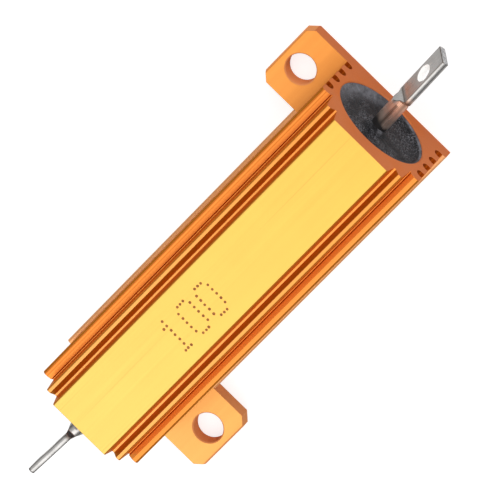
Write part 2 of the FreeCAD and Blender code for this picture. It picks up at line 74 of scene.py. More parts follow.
# Sideways across a stem: its dark streaks, which are painted reflections of the dark filler, and the filler
# that clings to it are placed by this direction
STREAK_SIDE = Vector((0.0, -0.926, -0.378))

# Dark streaks along a stem, painted reflections of the dark filler: how far sideways each runs and its half
# width, as shares of the radius
DARK_REFLECTIONS = ((-0.4, 0.3), (0.65, 0.35))

# How ragged the clinging filler's edge is, and how much farther it reaches on the far side, where the extra
# black is a painted reflection of the filler
SMEAR_RAGGED = 0.3
REFLECTION_FAR_SIDE = 1.6

# How level a face of the press has to be to stay plain tin, without the painted bronze reflection, and over
# how much more it is wholly free of it
PLAIN_TIN_LEVEL = 0.55
PLAIN_TIN_SPAN = 0.3

# Scales of the patterns, per metre. Three numbers stretch a pattern into lines along X
DIE_LINES = (30.0, 5200.0, 5200.0)
BROAD_LINES = (12.0, 900.0, 900.0)
LONG_SCRATCHES = (16.0, 2600.0, 2600.0)
METAL_GRAIN = 11000.0
DYE_CLOUDS = 140.0
FILLER_PATCHES = 420.0
FILLER_LUMPS = 1500.0
FILLER_SPECKS = 6500.0
FILLER_PORES = 3200.0
TIN_RIPPLES = 700.0
TIN_FROST = 9000.0
TIN_SCRATCHES = (120.0, 6000.0, 6000.0)
CUT_GRAIN = 5200.0
PRESS_WAVES = 900.0
SMEAR_WAVES = 1800.0
CERAMIC_CLOUDS = 900.0
CERAMIC_GRAIN = 8000.0
DRAWN_LINES = (200.0, 5000.0, 5000.0)
HEAT_TINTS = 260.0
DOT_PATCHES = 2500.0
PAPER_FIBRES = 600.0

# The part of a pattern, between 0 and 1, over which a finish goes from its one look to its other
MIDDLE = (0.3, 0.7)
WIDE_MIDDLE = (0.25, 0.75)

# How far up a face looks, from not level at all to fully level, and the same for the shelf
LEVEL = (0.82, 0.985)
SHELF_LEVEL = (0.85, 0.93)

# How far along X a face looks where it is a sawn end, and how deep that end goes
ENDWAYS = (0.5, 0.7)
SAWN_DEPTH = 0.14 * MILLIMETRE

# Below the top, from where the land's paler gold, a painted sheen, sets in to where it is full
LAND_FADE = (0.2 * MILLIMETRE, 0.02 * MILLIMETRE)

# Painted light: the paler colour the body goes to towards its rear, where the light is stronger; and the
# brighter patches of the sawn ends
REAR_PAINTED_LIGHT = (1.0, 0.95, 0.4)
END_PATCH = (0.9, 0.24, 0.05)

# The shelf's dark line and edge, painted shade: how far past the shelf's middle they lie, how they fade, how
# brown they are
SHELF_LINE = 0.06 * MILLIMETRE
SHELF_LINE_FADE = (0.1 * MILLIMETRE, 0.04 * MILLIMETRE)
SHELF_EDGE_FADE = (0.26 * MILLIMETRE, 0.36 * MILLIMETRE)
SHELF_DARK = 0.6

# How far the shelf's dim and bright strips, and the milled walls, take the light as level faces do
DIM_STRIP = 0.22
BRIGHT_STRIP = 0.52
STRIP_BLUR = 0.04 * MILLIMETRE
MILLED_LIFT = 0.3

# Roughness of the drawn, sloped and cut faces, and how metallic the dyed and the milled ones are
SATIN = (0.3, 0.4)
SHELF_SATIN = 0.3
MATT = (0.55, 0.68)
DYED_METAL = 0.7
MILLED_METAL = 0.1

# Radius by which the long sharp edges look rounded
EDGE_ROUND = 0.06 * MILLIMETRE

# Painted shade in a pressed corner, along the lug's edges and in the stem's dark streaks; and black under
# clinging filler, which on one side is also a painted reflection of the filler
CREASE_SHADE_BROWN = (0.1, 0.07, 0.05)
SMEAR_AND_REFLECTION_BLACK = (0.03, 0.028, 0.028)

# Where each lamp stands, and how wide it is
KEY_LAMP = ((-0.17, -0.07, 0.3), 0.25)
FILL_LAMP = ((0.32, 0.05, 0.15), 0.3)

# Points round a dot, and how far a dot drifts off its place, as a share of its diameter
DOT_POINTS = 14
DOT_DRIFT = 0.1

# Dotted digits, seven rows of five, as a dot marker writes them
DIGIT_ROWS = {
    "0": ("01110", "10001", "10001", "10001", "10001", "10001", "01110"),
    "1": ("00100", "01100", "00100", "00100", "00100", "00100", "01110"),
    "2": ("01110", "10001", "00001", "00110", "01000", "10000", "11111"),
    "3": ("01110", "10001", "00001", "00110", "00001", "10001", "01110"),
    "4": ("00010", "00110", "01010", "10010", "11111", "00010", "00010"),
    "5": ("11111", "10000", "11110", "00001", "00001", "10001", "01110"),
    "6": ("00110", "01000", "10000", "11110", "10001", "10001", "01110"),
    "7": ("11111", "00001", "00010", "00100", "01000", "01000", "01000"),
    "8": ("01110", "10001", "10001", "01110", "10001", "10001", "01110"),
    "9": ("01110", "10001", "10001", "01111", "00001", "00010", "01100"),
}


class ResistorFinishes(bpy.types.PropertyGroup):
    """Colours of the resistor's surfaces."""

    # The top land's paler, yellower gold is a painted sheen, where the top catches the light.
    land_sheen_gold: FloatVectorProperty(
        name="Land gold", description="Dye of the flat top land", subtype="COLOR",
        default=(0.97, 0.575, 0.11), min=0.0, max=1.0)
    step_gold: FloatVectorProperty(
        name="Step gold", description="Dye of the other faces that look up", subtype="COLOR",
        default=(0.97, 0.36, 0.075), min=0.0, max=1.0)
    milled: FloatVectorProperty(
        name="Milled face", description="Upright faces and holes of the ears", subtype="COLOR",
        default=(1.0, 0.39, 0.15), min=0.0, max=1.0)
    # Painted shade: the shelf's gold is a darker copy of the dye for its slope.
    shelf_shade_gold: FloatVectorProperty(
        name="Shelf", description="Sloped shelf beside the grooves", subtype="COLOR",
        default=(0.9, 0.285, 0.052), min=0.0, max=1.0)
    shelf_start: FloatProperty(
        name="Shelf start", description="How far out the shelf begins", unit="LENGTH",
        default=5.95 * MILLIMETRE, min=0.0, precision=5)
    shelf_middle: FloatProperty(
        name="Shelf middle", description="How far out the shelf's brighter outer strip begins",
        unit="LENGTH", default=6.68 * MILLIMETRE, min=0.0, precision=5)
    # Painted shade: this brown deep in the grooves, and on the shelf's dark line and edge, stands for shade.
    groove_shade_brown: FloatVectorProperty(
        name="Groove brown", description="Dye deep in the grooves", subtype="COLOR",
        default=(0.5, 0.085, 0.004), min=0.0, max=1.0)
    # The narrow lip is simply given a paler, pinker dye than the faces beside it.
    lip_gold: FloatVectorProperty(
        name="Lip gold", description="Dye of the narrow lip, rubbed paler", subtype="COLOR",
        default=(1.0, 0.47, 0.2), min=0.0, max=1.0)
    # Painted shade: the upright faces get this darker brown copy of the dye; the cut faces use the same
    # brown for the specks of their grain.
    wall_shade_and_speck_brown: FloatVectorProperty(
        name="Wall brown", description="Dye of the upright faces, which took most",
        subtype="COLOR", default=(0.7, 0.215, 0.012), min=0.0, max=1.0)
    fin_reach: FloatProperty(
        name="Fin reach", description="Middle of the body to the tips of its fins", unit="LENGTH",
        default=7.41 * MILLIMETRE, min=0.0, precision=5)
    groove_top: FloatProperty(
        name="Groove top", description="Base to the roof of the highest groove", unit="LENGTH",
        default=10.6 * MILLIMETRE, min=0.0, precision=5)
    flange_top: FloatProperty(
        name="Flange top", description="Base to the top of the ears", unit="LENGTH",
        default=2.02 * MILLIMETRE, min=0.0, precision=5)
    lip_reach: FloatProperty(
        name="Lip reach", description="Middle of the body to the outside of the narrow lip",
        unit="LENGTH", default=7.95 * MILLIMETRE, min=0.0, precision=5)
    ear_start: FloatProperty(
        name="Ear start", description="Middle of the body to where an ear begins", unit="LENGTH",
        default=15.9 * MILLIMETRE, min=0.0, precision=5)
    # Painted light: the paler colour towards the rear stands for the stronger light there.
    rear_painted_light: FloatProperty(
        name="Rear fade", description="How much paler the dye is at the rear end", subtype="FACTOR",
        default=0.16, min=0.0, max=1.0)
    sawn_end: FloatVectorProperty(
        name="Sawn end", description="Dye on the matt ends, where the extrusion was sawn",
        subtype="COLOR", default=(0.86, 0.285, 0.12), min=0.0, max=1.0)
    filler: FloatVectorProperty(
        name="Filler", description="Potting compound", subtype="COLOR",
        default=(0.008, 0.008, 0.01), min=0.0, max=1.0)
    # Used for the filler's real grains and also for its painted sheen, glint and highlight line.
    filler_grains_and_sheen: FloatVectorProperty(
        name="Filler, pale", description="Grains and the skin of the potting compound", subtype="COLOR",
        default=(0.27, 0.27, 0.3), min=0.0, max=1.0)
    # Painted reflection: this bronze stands for the orange end face seen in the tin, not for copper under
    # thin tin.
    reflection_bronze: FloatVectorProperty(
        name="Copper", description="Terminal where its tin is thin", subtype="COLOR",
        default=(0.95, 0.6, 0.43), min=0.0, max=1.0)
    tin: FloatVectorProperty(
        name="Tin", description="Dipped tin of the terminals", subtype="COLOR",
        default=(0.64, 0.625, 0.605), min=0.0, max=1.0)
    mark: FloatVectorProperty(
        name="Mark", description="Dots burnt into the dye", subtype="COLOR",
        default=(0.33, 0.125, 0.035), min=0.0, max=1.0)


class ResistorTerminal(bpy.types.PropertyGroup):
    """Sizes of the terminals, from the welded head to the pressed lug."""

    head_radius: FloatProperty(
        name="Head radius", description="Head that is welded to the cap", unit="LENGTH",
        default=1.8 * MILLIMETRE, min=0.1 * MILLIMETRE, precision=5)
    head_thickness: FloatProperty(
        name="Head thickness", description="That head along the axis", unit="LENGTH",
        default=0.6 * MILLIMETRE, min=0.1 * MILLIMETRE, precision=5)
    stem_radius: FloatProperty(
        name="Stem radius", description="Round part of a terminal", unit="LENGTH",
        default=1.025 * MILLIMETRE, min=0.1 * MILLIMETRE, precision=5)
    press_start: FloatProperty(
        name="Press start", description="Head to where the stem begins to be pressed flat",
        unit="LENGTH", default=8.25 * MILLIMETRE, min=0.1 * MILLIMETRE, precision=5)
    press_length: FloatProperty(
        name="Press length", description="Slope from the stem down to the flat", unit="LENGTH",
        default=1.1 * MILLIMETRE, min=0.1 * MILLIMETRE, precision=5)
    spread_length: FloatProperty(
        name="Spread length", description="How far before the press the stem begins to widen",
        unit="LENGTH", default=-0.6 * MILLIMETRE, precision=5)
    # The next three set how much painted bronze reflection the stem and each terminal get.
    stem_reflection: FloatProperty(
        name="Stem copper", description="How much copper shows through down the stem", subtype="FACTOR",
        default=0.5, min=0.0, max=1.0)
    front_reflection: FloatProperty(
        name="Front copper", description="Share of that at the front terminal", subtype="FACTOR",
        default=1.0, min=0.0, max=1.0)
    rear_reflection: FloatProperty(
        name="Rear copper", description="Share of that at the rear terminal", subtype="FACTOR",
        default=0.04, min=0.0, max=1.0)
    filler_foot: FloatProperty(
        name="Filler at the stem", description="Where the stem leaves the filler, from the middle",
        unit="LENGTH", default=24.15 * MILLIMETRE, min=0.0, precision=5)
    smear_height: FloatProperty(
        name="Smear height", description="How far filler clings to the stem", unit="LENGTH",
        default=0.9 * MILLIMETRE, min=0.01 * MILLIMETRE, precision=5)
    # The dark corner is painted shade; the width also sets where the lug's straight part ends.
    crease_width: FloatProperty(
        name="Crease width", description="Dark corner where the press ends", unit="LENGTH",
        default=0.12 * MILLIMETRE, min=0.0, precision=5)
    bend_start: FloatProperty(
        name="Bend start", description="Head to where the terminal begins to lean", unit="LENGTH",
        default=4.5 * MILLIMETRE, min=0.1 * MILLIMETRE, precision=5)
    front_tip: FloatProperty(
        name="Front tip", description="Rounding of the front lug's tip", unit="LENGTH",
        default=0.06 * MILLIMETRE, min=0.0, precision=5)
    rear_tip: FloatProperty(
        name="Rear tip", description="Rounding of the rear lug's tip", unit="LENGTH",
        default=0.27 * MILLIMETRE, min=0.0, precision=5)
    lug_width: FloatProperty(
        name="Lug width", description="Across the pressed lug", unit="LENGTH",
        default=3.15 * MILLIMETRE, min=0.1 * MILLIMETRE, precision=5)
    lug_thickness: FloatProperty(
        name="Lug thickness", description="The pressed flat", unit="LENGTH",
        default=0.78 * MILLIMETRE, min=0.1 * MILLIMETRE, precision=5)
    hole_radius: FloatProperty(
        name="Wire hole", description="Radius of the hole for the wire", unit="LENGTH",
        default=1.05 * MILLIMETRE, min=0.1 * MILLIMETRE, precision=5)
    hole_inset: FloatProperty(
        name="Hole inset", description="Tip to the centre of the hole", unit="LENGTH",
        default=3.1 * MILLIMETRE, min=0.1 * MILLIMETRE, precision=5)
    unevenness: FloatProperty(
        name="Unevenness", description="How far the pressed faces wave", unit="LENGTH",
        default=0.02 * MILLIMETRE, min=0.0, precision=6)
    front_turn: FloatProperty(
        name="Front turn", description="Front lug about the axis", subtype="ANGLE",
        default=math.radians(-61.0))
    rear_turn: FloatProperty(
        name="Rear turn", description="Rear lug about the axis", subtype="ANGLE",
        default=math.radians(90.0))
    front_lean: FloatProperty(
        name="Front lean", description="How far the front lug's tip is bent towards +Y", unit="LENGTH",
        default=0.3 * MILLIMETRE, precision=5)
    rear_lean: FloatProperty(
        name="Rear lean", description="How far the rear lug's tip is bent towards +Y", unit="LENGTH",
        default=0.47 * MILLIMETRE, precision=5)


class ResistorMark(bpy.types.PropertyGroup):
    """The dotted number on the top land."""

    digits: StringProperty(
        name="Digits", description="Plain number on the top land", default="100")
    dot_diameter: FloatProperty(
        name="Dot", description="Diameter of one dot", unit="LENGTH",
        default=0.35 * MILLIMETRE, min=0.05 * MILLIMETRE, precision=5)
    dot_height: FloatProperty(
        name="Dot height", description="How far a dot stands out of the land", unit="LENGTH",
        default=0.003 * MILLIMETRE, min=0.0, precision=6)
    column_pitch: FloatProperty(
        name="Column pitch", description="Dot to dot along the body", unit="LENGTH",
        default=0.5 * MILLIMETRE, min=0.1 * MILLIMETRE, precision=5)
    row_pitch: FloatProperty(
        name="Row pitch", description="Dot to dot across the body", unit="LENGTH",
        default=0.68 * MILLIMETRE, min=0.1 * MILLIMETRE, precision=5)
    digit_gap: FloatProperty(
        name="Digit gap", description="Last column of a digit to the first of the next", unit="LENGTH",
        default=1.1 * MILLIMETRE, min=0.1 * MILLIMETRE, precision=5)
    start: FloatProperty(
        name="Start", description="First column of the number, from the middle of the body",
        unit="LENGTH", default=-8.6 * MILLIMETRE, precision=5)
    middle: FloatProperty(
        name="Middle", description="Middle row of the number, off the middle of the land", unit="LENGTH",
        default=-0.2 * MILLIMETRE, precision=5)
    unevenness: FloatProperty(
        name="Unevenness", description="Share by which the dots differ in size", subtype="FACTOR",
        default=0.09, min=0.0, max=0.9)
    seed: IntProperty(
        name="Seed", description="Which dots come out larger or off their place", default=4, min=0)


class ResistorStudio(bpy.types.PropertyGroup):
    """Camera, floor and lamps."""

    azimuth: FloatProperty(
        name="Azimuth", description="Camera's direction, from +X towards +Y", subtype="ANGLE",
        default=math.radians(1.582))
    elevation: FloatProperty(
        name="Elevation", description="Camera's height above the floor", subtype="ANGLE",
        default=math.radians(64.623))
    roll: FloatProperty(
        name="Roll", description="Camera turned about its own line of sight", subtype="ANGLE",
        default=math.radians(-137.039))
    distance: FloatProperty(
        name="Distance", description="Camera to the middle of the base", unit="LENGTH",
        default=0.714286)
    aim_right: FloatProperty(
        name="Aim, right", description="Picture's middle, right of the middle of the base",
        unit="LENGTH", default=-1.019 * MILLIMETRE, precision=5)
    aim_up: FloatProperty(
        name="Aim, up", description="Picture's middle, above the middle of the base", unit="LENGTH",
        default=-0.56 * MILLIMETRE, precision=5)
    picture_width: FloatProperty(
        name="Picture width", description="Width of what the picture takes in", unit="LENGTH",
        default=500 / 8.861 * MILLIMETRE, precision=5)
    floor_size: FloatProperty(
        name="Floor", description="Side of the floor", unit="LENGTH", default=3.0, min=0.1)
    floor_glow: FloatProperty(
        name="Floor glow", description="How far the floor is lifted to white in the picture",
        default=0.74, min=0.0)
    floor_gloss: FloatProperty(
        name="Floor in reflections", description="The same in the part's reflections",
        default=0.2, min=0.0)
    key_power: FloatProperty(
        name="Key lamp", description="Power of the large lamp", unit="POWER", default=0.22, min=0.0)
    fill_power: FloatProperty(
        name="Fill lamp", description="Power of the lamp on the other side", unit="POWER",
        default=0.4, min=0.0)
    surround: FloatProperty(
        name="Surround", description="Strength of the even light from above",
        default=0.7, min=0.0)
    horizon: FloatProperty(
        name="Horizon", description="Light at the horizon, as a share of that from above",
        subtype="FACTOR", default=0.38, min=0.0, max=1.0)
    dark_horizon: FloatProperty(
        name="Horizon in reflections", description="The same share in the part's reflections",
        subtype="FACTOR", default=0.12, min=0.0, max=1.0)


def add_node(tree, kind, inputs=None, **settings):
    """One node with its settings; an input takes a value or another node's output."""
    node = tree.nodes.new(kind)
    for name, value in settings.items():
        setattr(node, name, value)
    for name, value in (inputs or {}).items():
        if isinstance(value, bpy.types.NodeSocket):
            tree.links.new(value, node.inputs[name])
        else:
            node.inputs[name].default_value = value
    return node


def math_node(tree, operation, first, second=0.0, clamp=False):
    """One sum on two values or outputs."""
    node = tree.nodes.new("ShaderNodeMath")
    node.operation = operation
    node.use_clamp = clamp
    for socket, value in zip(node.inputs, (first, second)):
        if isinstance(value, bpy.types.NodeSocket):
            tree.links.new(value, socket)
        else:
            socket.default_value = value
    return node.outputs[0]


def product(tree, first, *others):
    """Several values or outputs multiplied."""
    result = first
    for factor in others:
        result = math_node(tree, "MULTIPLY", result, factor)
    return result


def map_range(tree, value, low, high, to_low=0.0, to_high=1.0, smooth=False):
    """A value held between two ends and stretched to two others."""
    kind = "SMOOTHSTEP" if smooth else "LINEAR"
    node = add_node(tree, "ShaderNodeMapRange", {
        "Value": value, "From Min": low, "From Max": high, "To Min": to_low, "To Max": to_high,
    }, interpolation_type=kind)
    return node.outputs["Result"]


def blend(tree, factor, first, second):
    """A number between two others."""
    node = add_node(tree, "ShaderNodeMix", {0: factor, 2: first, 3: second}, data_type="FLOAT")
    return node.outputs[0]


def mix_colours(tree, factor, first, second):
    """A colour between two others."""
    node = tree.nodes.new("ShaderNodeMix")
    node.data_type = "RGBA"
    for socket, value in ((node.inputs[0], factor), (node.inputs[6], first), (node.inputs[7], second)):
        if isinstance(value, bpy.types.NodeSocket):
            tree.links.new(value, socket)
        elif socket.type == "RGBA":
            socket.default_value = (*value, 1.0)
        else:
            socket.default_value = value
    return node.outputs[2]


def noise(tree, vector, scale, detail=2.0, roughness=0.5):
    """Soft uneven pattern between 0 and 1; a scale of three numbers draws it out into lines."""
    if isinstance(scale, tuple):
        vector = add_node(tree, "ShaderNodeMapping", {"Vector": vector, "Scale": scale}).outputs["Vector"]
        scale = 1.0
    node = add_node(tree, "ShaderNodeTexNoise", {
        "Vector": vector, "Scale": scale, "Detail": detail, "Roughness": roughness})
    return node.outputs["Fac"]


def attribute(tree, name):
    """What a mesh keeps at its points under a name."""
    return add_node(tree, "ShaderNodeAttribute", attribute_name=name).outputs["Fac"]


def start_material(name):
    """A new material, its node tree, its shader and the object's own coordinates."""
    material = bpy.data.materials.new(name)
    material.use_nodes = True
    tree = material.node_tree
    tree.nodes.clear()
    shader = add_node(tree, "ShaderNodeBsdfPrincipled")
    output = add_node(tree, "ShaderNodeOutputMaterial")
    tree.links.new(shader.outputs["BSDF"], output.inputs["Surface"])
    place = add_node(tree, "ShaderNodeTexCoord")
    return material, tree, shader, place


def set_bump(tree, shader, layers, edge_radius=None, upturned=None):
    """Chain bumps onto a shader: each layer is a height, its depth in metres and its strength.

    Where an edge radius is given, the sharp edges take the light as if they were rounded by it.
    Where upturned is given, that share of the face takes the light as if it lay level.
    """
    normal = None
    if edge_radius is not None:
        rounded = add_node(tree, "ShaderNodeBevel", {"Radius": edge_radius}, samples=8)
        normal = rounded.outputs["Normal"]
    if upturned is not None:
        eased = add_node(tree, "ShaderNodeMix", {0: upturned, 4: normal, 5: (0.0, 0.0, 1.0)},
                         data_type="VECTOR")
        unit = add_node(tree, "ShaderNodeVectorMath", {0: eased.outputs[1]}, operation="NORMALIZE")
        normal = unit.outputs[0]
    for height, depth, strength in layers:
        inputs = {"Height": height, "Distance": depth, "Strength": strength}
        if normal is not None:
            inputs["Normal"] = normal
        normal = add_node(tree, "ShaderNodeBump", inputs).outputs["Normal"]
    tree.links.new(normal, shader.inputs["Normal"])


def housing_masks(tree, place, finishes):
    """How far a spot lies on each kind of the housing's faces, from 0 to 1."""
    facing = add_node(tree, "ShaderNodeSeparateXYZ", {"Vector": place.outputs["Normal"]}).outputs
    spot = add_node(tree, "ShaderNodeSeparateXYZ", {"Vector": place.outputs["Object"]}).outputs
    from_side = math_node(tree, "ABSOLUTE", spot["Y"])
    level = map_range(tree, facing["Z"], *LEVEL, smooth=True)
    left = math_node(tree, "GREATER_THAN", spot["Y"], 0.0)

    # The sawn ends
    on_end = math_node(tree, "GREATER_THAN", math_node(tree, "ABSOLUTE", spot["X"]), cad_end - SAWN_DEPTH)
    endways = map_range(tree, math_node(tree, "ABSOLUTE", facing["X"]), *ENDWAYS)
    sawn = product(tree, on_end, endways)
    not_sawn = math_node(tree, "SUBTRACT", 1.0, sawn)

    # The flange: the narrow lip between the ears, and the milled walls of the ears
    on_flange = math_node(tree, "LESS_THAN", spot["Z"], finishes.flange_top)
    along_ear = product(tree, spot["X"], math_node(tree, "SIGN", spot["Y"]))
    no_ear = math_node(tree, "LESS_THAN", along_ear, finishes.ear_start)
    within_lip = math_node(tree, "LESS_THAN", from_side, finishes.lip_reach)
    past_fins = math_node(tree, "GREATER_THAN", from_side, finishes.fin_reach)
    lip = product(tree, on_flange, not_sawn, no_ear, within_lip, past_fins)
    upright = product(tree, on_flange, math_node(tree, "SUBTRACT", 1.0, level))
    cut = math_node(tree, "SUBTRACT", math_node(tree, "MAXIMUM", sawn, upright), lip, clamp=True)

    # The grooves, whose mask places painted shade, and the shelf above them
    under_roof = math_node(tree, "LESS_THAN", spot["Z"], finishes.groove_top)
    # Painted shade: everything under the roof of the grooves and within the fins is darkened.
    groove = product(tree, math_node(tree, "LESS_THAN", from_side, finishes.fin_reach), under_roof)
    outside = math_node(tree, "GREATER_THAN", from_side, finishes.shelf_start)
    over_roof = math_node(tree, "GREATER_THAN", spot["Z"], finishes.groove_top)
    shelf = product(tree, outside, over_roof, map_range(tree, facing["Z"], *SHELF_LEVEL))

    # The top land, where the paler gold is a painted sheen, and painted light that grows towards the rear
    land_start, land_full = LAND_FADE
    land = map_range(tree, spot["Z"], top_land - land_start, top_land - land_full)
    rear = map_range(tree, spot["X"], cad_end, -cad_end, 0.0, finishes.rear_painted_light)
    return SimpleNamespace(
        from_side=from_side, level=level, left=left, lip=lip, cut=cut,
        milled=product(tree, upright, not_sawn), groove=groove, shelf=shelf, land=land, rear=rear)


def shelf_colour(tree, on, finishes):
    """Painted shade on the sloped shelf: a darker copy of the dye, with a dark line and a dark edge painted
    on its left side only.
    """
    line_middle = finishes.shelf_middle + SHELF_LINE
    from_line = math_node(tree, "ABSOLUTE", math_node(tree, "SUBTRACT", on.from_side, line_middle))
    line = map_range(tree, from_line, *SHELF_LINE_FADE, 0.0, SHELF_DARK)
    edge_start, edge_full = SHELF_EDGE_FADE
    edge = map_range(tree, on.from_side, finishes.shelf_middle + edge_start,
                     finishes.shelf_middle + edge_full, 0.0, SHELF_DARK)
    # Painted shade, on the left side only.
    darker = product(tree, on.left, math_node(tree, "MAXIMUM", line, edge))
    return mix_colours(tree, darker, finishes.shelf_shade_gold, finishes.groove_shade_brown)


def extruded_colour(tree, on, position, clouds, finishes):
    """Colour of the faces that the die drew: gold dye with painted sheen on the top land and painted light
    towards the rear, and painted shade on the walls, the shelf and in the grooves.
    """
    # Painted sheen on the top land, then painted light towards the rear.
    face = mix_colours(tree, on.land, finishes.step_gold, finishes.land_sheen_gold)
    face = mix_colours(tree, on.rear, face, REAR_PAINTED_LIGHT)
    face = mix_colours(tree, on.shelf, face, shelf_colour(tree, on, finishes))
    # Painted shade: faces that are not level take the darker wall brown.
    dye = mix_colours(tree, on.level, finishes.wall_shade_and_speck_brown, face)
    # Painted shade in the grooves.
    dye = mix_colours(tree, on.groove, dye, finishes.groove_shade_brown)
    dye = mix_colours(tree, on.lip, dye, finishes.lip_gold)
    broad_lines = noise(tree, position, BROAD_LINES, 2.0)
    tone = math_node(tree, "ADD", product(tree, clouds, 0.6), product(tree, broad_lines, 0.4))
    shade = math_node(tree, "SUBTRACT", map_range(tree, tone, *MIDDLE, 0.0, 0.14), on.groove, clamp=True)
    uneven = mix_colours(tree, shade, dye, finishes.step_gold)
    scratched = map_range(tree, noise(tree, position, LONG_SCRATCHES, 1.0), 0.67, 0.75, 0.0, 0.4)
    return mix_colours(tree, scratched, uneven, finishes.step_gold)


def cut_colour(tree, on, clouds, grain, finishes):
    """Dye of the faces that were cut: the speckled sawn ends and the milled walls of the ears."""
    speckled = mix_colours(tree, map_range(tree, grain, *MIDDLE, 0.0, 0.12), finishes.sawn_end,
                           finishes.wall_shade_and_speck_brown)
    speckled = mix_colours(tree, map_range(tree, clouds, 0.52, 0.68, 0.0, 0.45), speckled, END_PATCH)
    milled = mix_colours(tree, map_range(tree, grain, *MIDDLE, 0.0, 0.2), finishes.milled,
                         finishes.wall_shade_and_speck_brown)
    return mix_colours(tree, on.milled, speckled, milled)


def anodised_aluminium(finishes):
    """Satin gold dye on the extrusion, with painted shade on its upright faces, in its grooves and on its
    shelf, painted sheen on top and painted light towards the rear, and matt sawn ends.
    """
    material, tree, shader, place = start_material("anodised_aluminium")
    position = place.outputs["Object"]
    on = housing_masks(tree, place, finishes)
    die_lines = noise(tree, position, DIE_LINES, 3.0, 0.6)
    grain = noise(tree, position, METAL_GRAIN, 2.0, 0.6)
    clouds = noise(tree, position, DYE_CLOUDS, 3.0)
    colour = mix_colours(tree, on.cut, extruded_colour(tree, on, position, clouds, finishes),
                         cut_colour(tree, on, clouds, grain, finishes))
    tree.links.new(colour, shader.inputs["Base Color"])

    satin = blend(tree, on.shelf, map_range(tree, die_lines, *WIDE_MIDDLE, *SATIN), SHELF_SATIN)
    matt = map_range(tree, grain, *MIDDLE, *MATT)
    tree.links.new(blend(tree, on.cut, satin, matt), shader.inputs["Roughness"])
    metal = map_range(tree, on.milled, 0.0, 1.0, DYED_METAL, MILLED_METAL)
    tree.links.new(metal, shader.inputs["Metallic"])
    shader.inputs["Specular Tint"].default_value = (0.9, 0.5, 0.2, 1.0)

    outer_strip = map_range(tree, on.from_side, finishes.shelf_middle - STRIP_BLUR,
                            finishes.shelf_middle + STRIP_BLUR)
    strip = map_range(tree, math_node(tree, "MAXIMUM", outer_strip, on.left), 0.0, 1.0,
                      DIM_STRIP, BRIGHT_STRIP)
    upturned = math_node(tree, "ADD", product(tree, on.shelf, strip),
                         product(tree, on.milled, MILLED_LIFT))
    set_bump(tree, shader, [
        (blend(tree, on.cut, die_lines, grain), 0.004 * MILLIMETRE, 0.5),
        (grain, 0.003 * MILLIMETRE, 0.5),
    ], edge_radius=EDGE_ROUND, upturned=upturned)
    return material


def filler_painted_lights(tree, position, spot, from_axis, lumps, specks):
    """Painted light on the filler: a broad painted sheen, a painted glint beside the terminal, a painted
    highlight line at the rim.
    """
    lift = math_node(tree, "SUBTRACT", spot["Z"], bore_axis)
    towards_sheen = math_node(tree, "SUBTRACT", product(tree, spot["Y"], 0.83), product(tree, lift, 0.55))
    sheen = product(
        tree,
        map_range(tree, from_axis, 0.62 * bore_radius, 0.93 * bore_radius, smooth=True),
        map_range(tree, towards_sheen, 0.35 * bore_radius, 0.95 * bore_radius, smooth=True),
        map_range(tree, lumps, *MIDDLE, 0.3, 1.0))

    glint_middle = (cad_end, -0.65 * MILLIMETRE, bore_axis + 1.2 * MILLIMETRE)
    from_glint = add_node(tree, "ShaderNodeVectorMath", {0: position, 1: glint_middle},
                          operation="DISTANCE")
    glint = product(
        tree,
        map_range(tree, from_glint.outputs["Value"], 0.75 * MILLIMETRE, 0.5 * MILLIMETRE),
        map_range(tree, specks, 0.35, 0.6, 0.3, 1.0))

    away = math_node(tree, "ADD", product(tree, spot["Y"], 0.78), product(tree, lift, 0.63))
    line = product(
        tree,
        map_range(tree, from_axis, bore_radius - 0.26 * MILLIMETRE, bore_radius - 0.16 * MILLIMETRE),
        map_range(tree, away, -0.55 * bore_radius, -0.9 * bore_radius),
        map_range(tree, lumps, 0.3, 0.65, 0.1, 1.0))
    return math_node(tree, "MAXIMUM", math_node(tree, "MAXIMUM", sheen, glint), line)


def filler_compound(finishes):
    """Dark rough filler with fine pale grains, a painted sheen towards the bore's rim, and a further painted
    sheen, glint and highlight line.
    """
    material, tree, shader, place = start_material("filler_compound")
    position = place.outputs["Object"]
    patches = noise(tree, position, FILLER_PATCHES, 2.0)
    lumps = noise(tree, position, FILLER_LUMPS, 3.0, 0.6)
    specks = noise(tree, position, FILLER_SPECKS, 2.0, 0.7)
    pores = add_node(tree, "ShaderNodeTexVoronoi", {"Vector": position, "Scale": FILLER_PORES})
    spot = add_node(tree, "ShaderNodeSeparateXYZ", {"Vector": position}).outputs
    across = math_node(tree, "POWER", spot["Y"], 2.0)
    upward = math_node(tree, "POWER", math_node(tree, "SUBTRACT", spot["Z"], bore_axis), 2.0)
    from_axis = math_node(tree, "SQRT", math_node(tree, "ADD", across, upward))
    # Painted sheen: paler towards the bore's rim.
    rim = map_range(tree, from_axis, bore_radius - 0.3 * MILLIMETRE, bore_radius, 0.0, 0.5)
    grains = product(tree, map_range(tree, specks, 0.5, 0.62),
                     map_range(tree, patches, 0.38, 0.6, 0.1, 0.8))
    tone = math_node(tree, "ADD", grains, product(tree, rim, lumps), clamp=True)
    # Painted light: sheen, glint and highlight line, mixed into the colour with the real grains.
    lights = filler_painted_lights(tree, position, spot, from_axis, lumps, specks)
    colour = mix_colours(tree, math_node(tree, "MAXIMUM", tone, lights), finishes.filler,
                         finishes.filler_grains_and_sheen)
    tree.links.new(colour, shader.inputs["Base Color"])
    tree.links.new(map_range(tree, lumps, *MIDDLE, 0.3, 0.5), shader.inputs["Roughness"])
    shader.inputs["Specular IOR Level"].default_value = 0.22
    set_bump(tree, shader, [
        (lumps, 0.2 * MILLIMETRE, 0.7),
        (pores.outputs["Distance"], 0.06 * MILLIMETRE, 0.5),
        (specks, 0.05 * MILLIMETRE, 0.6),
    ])
    return material


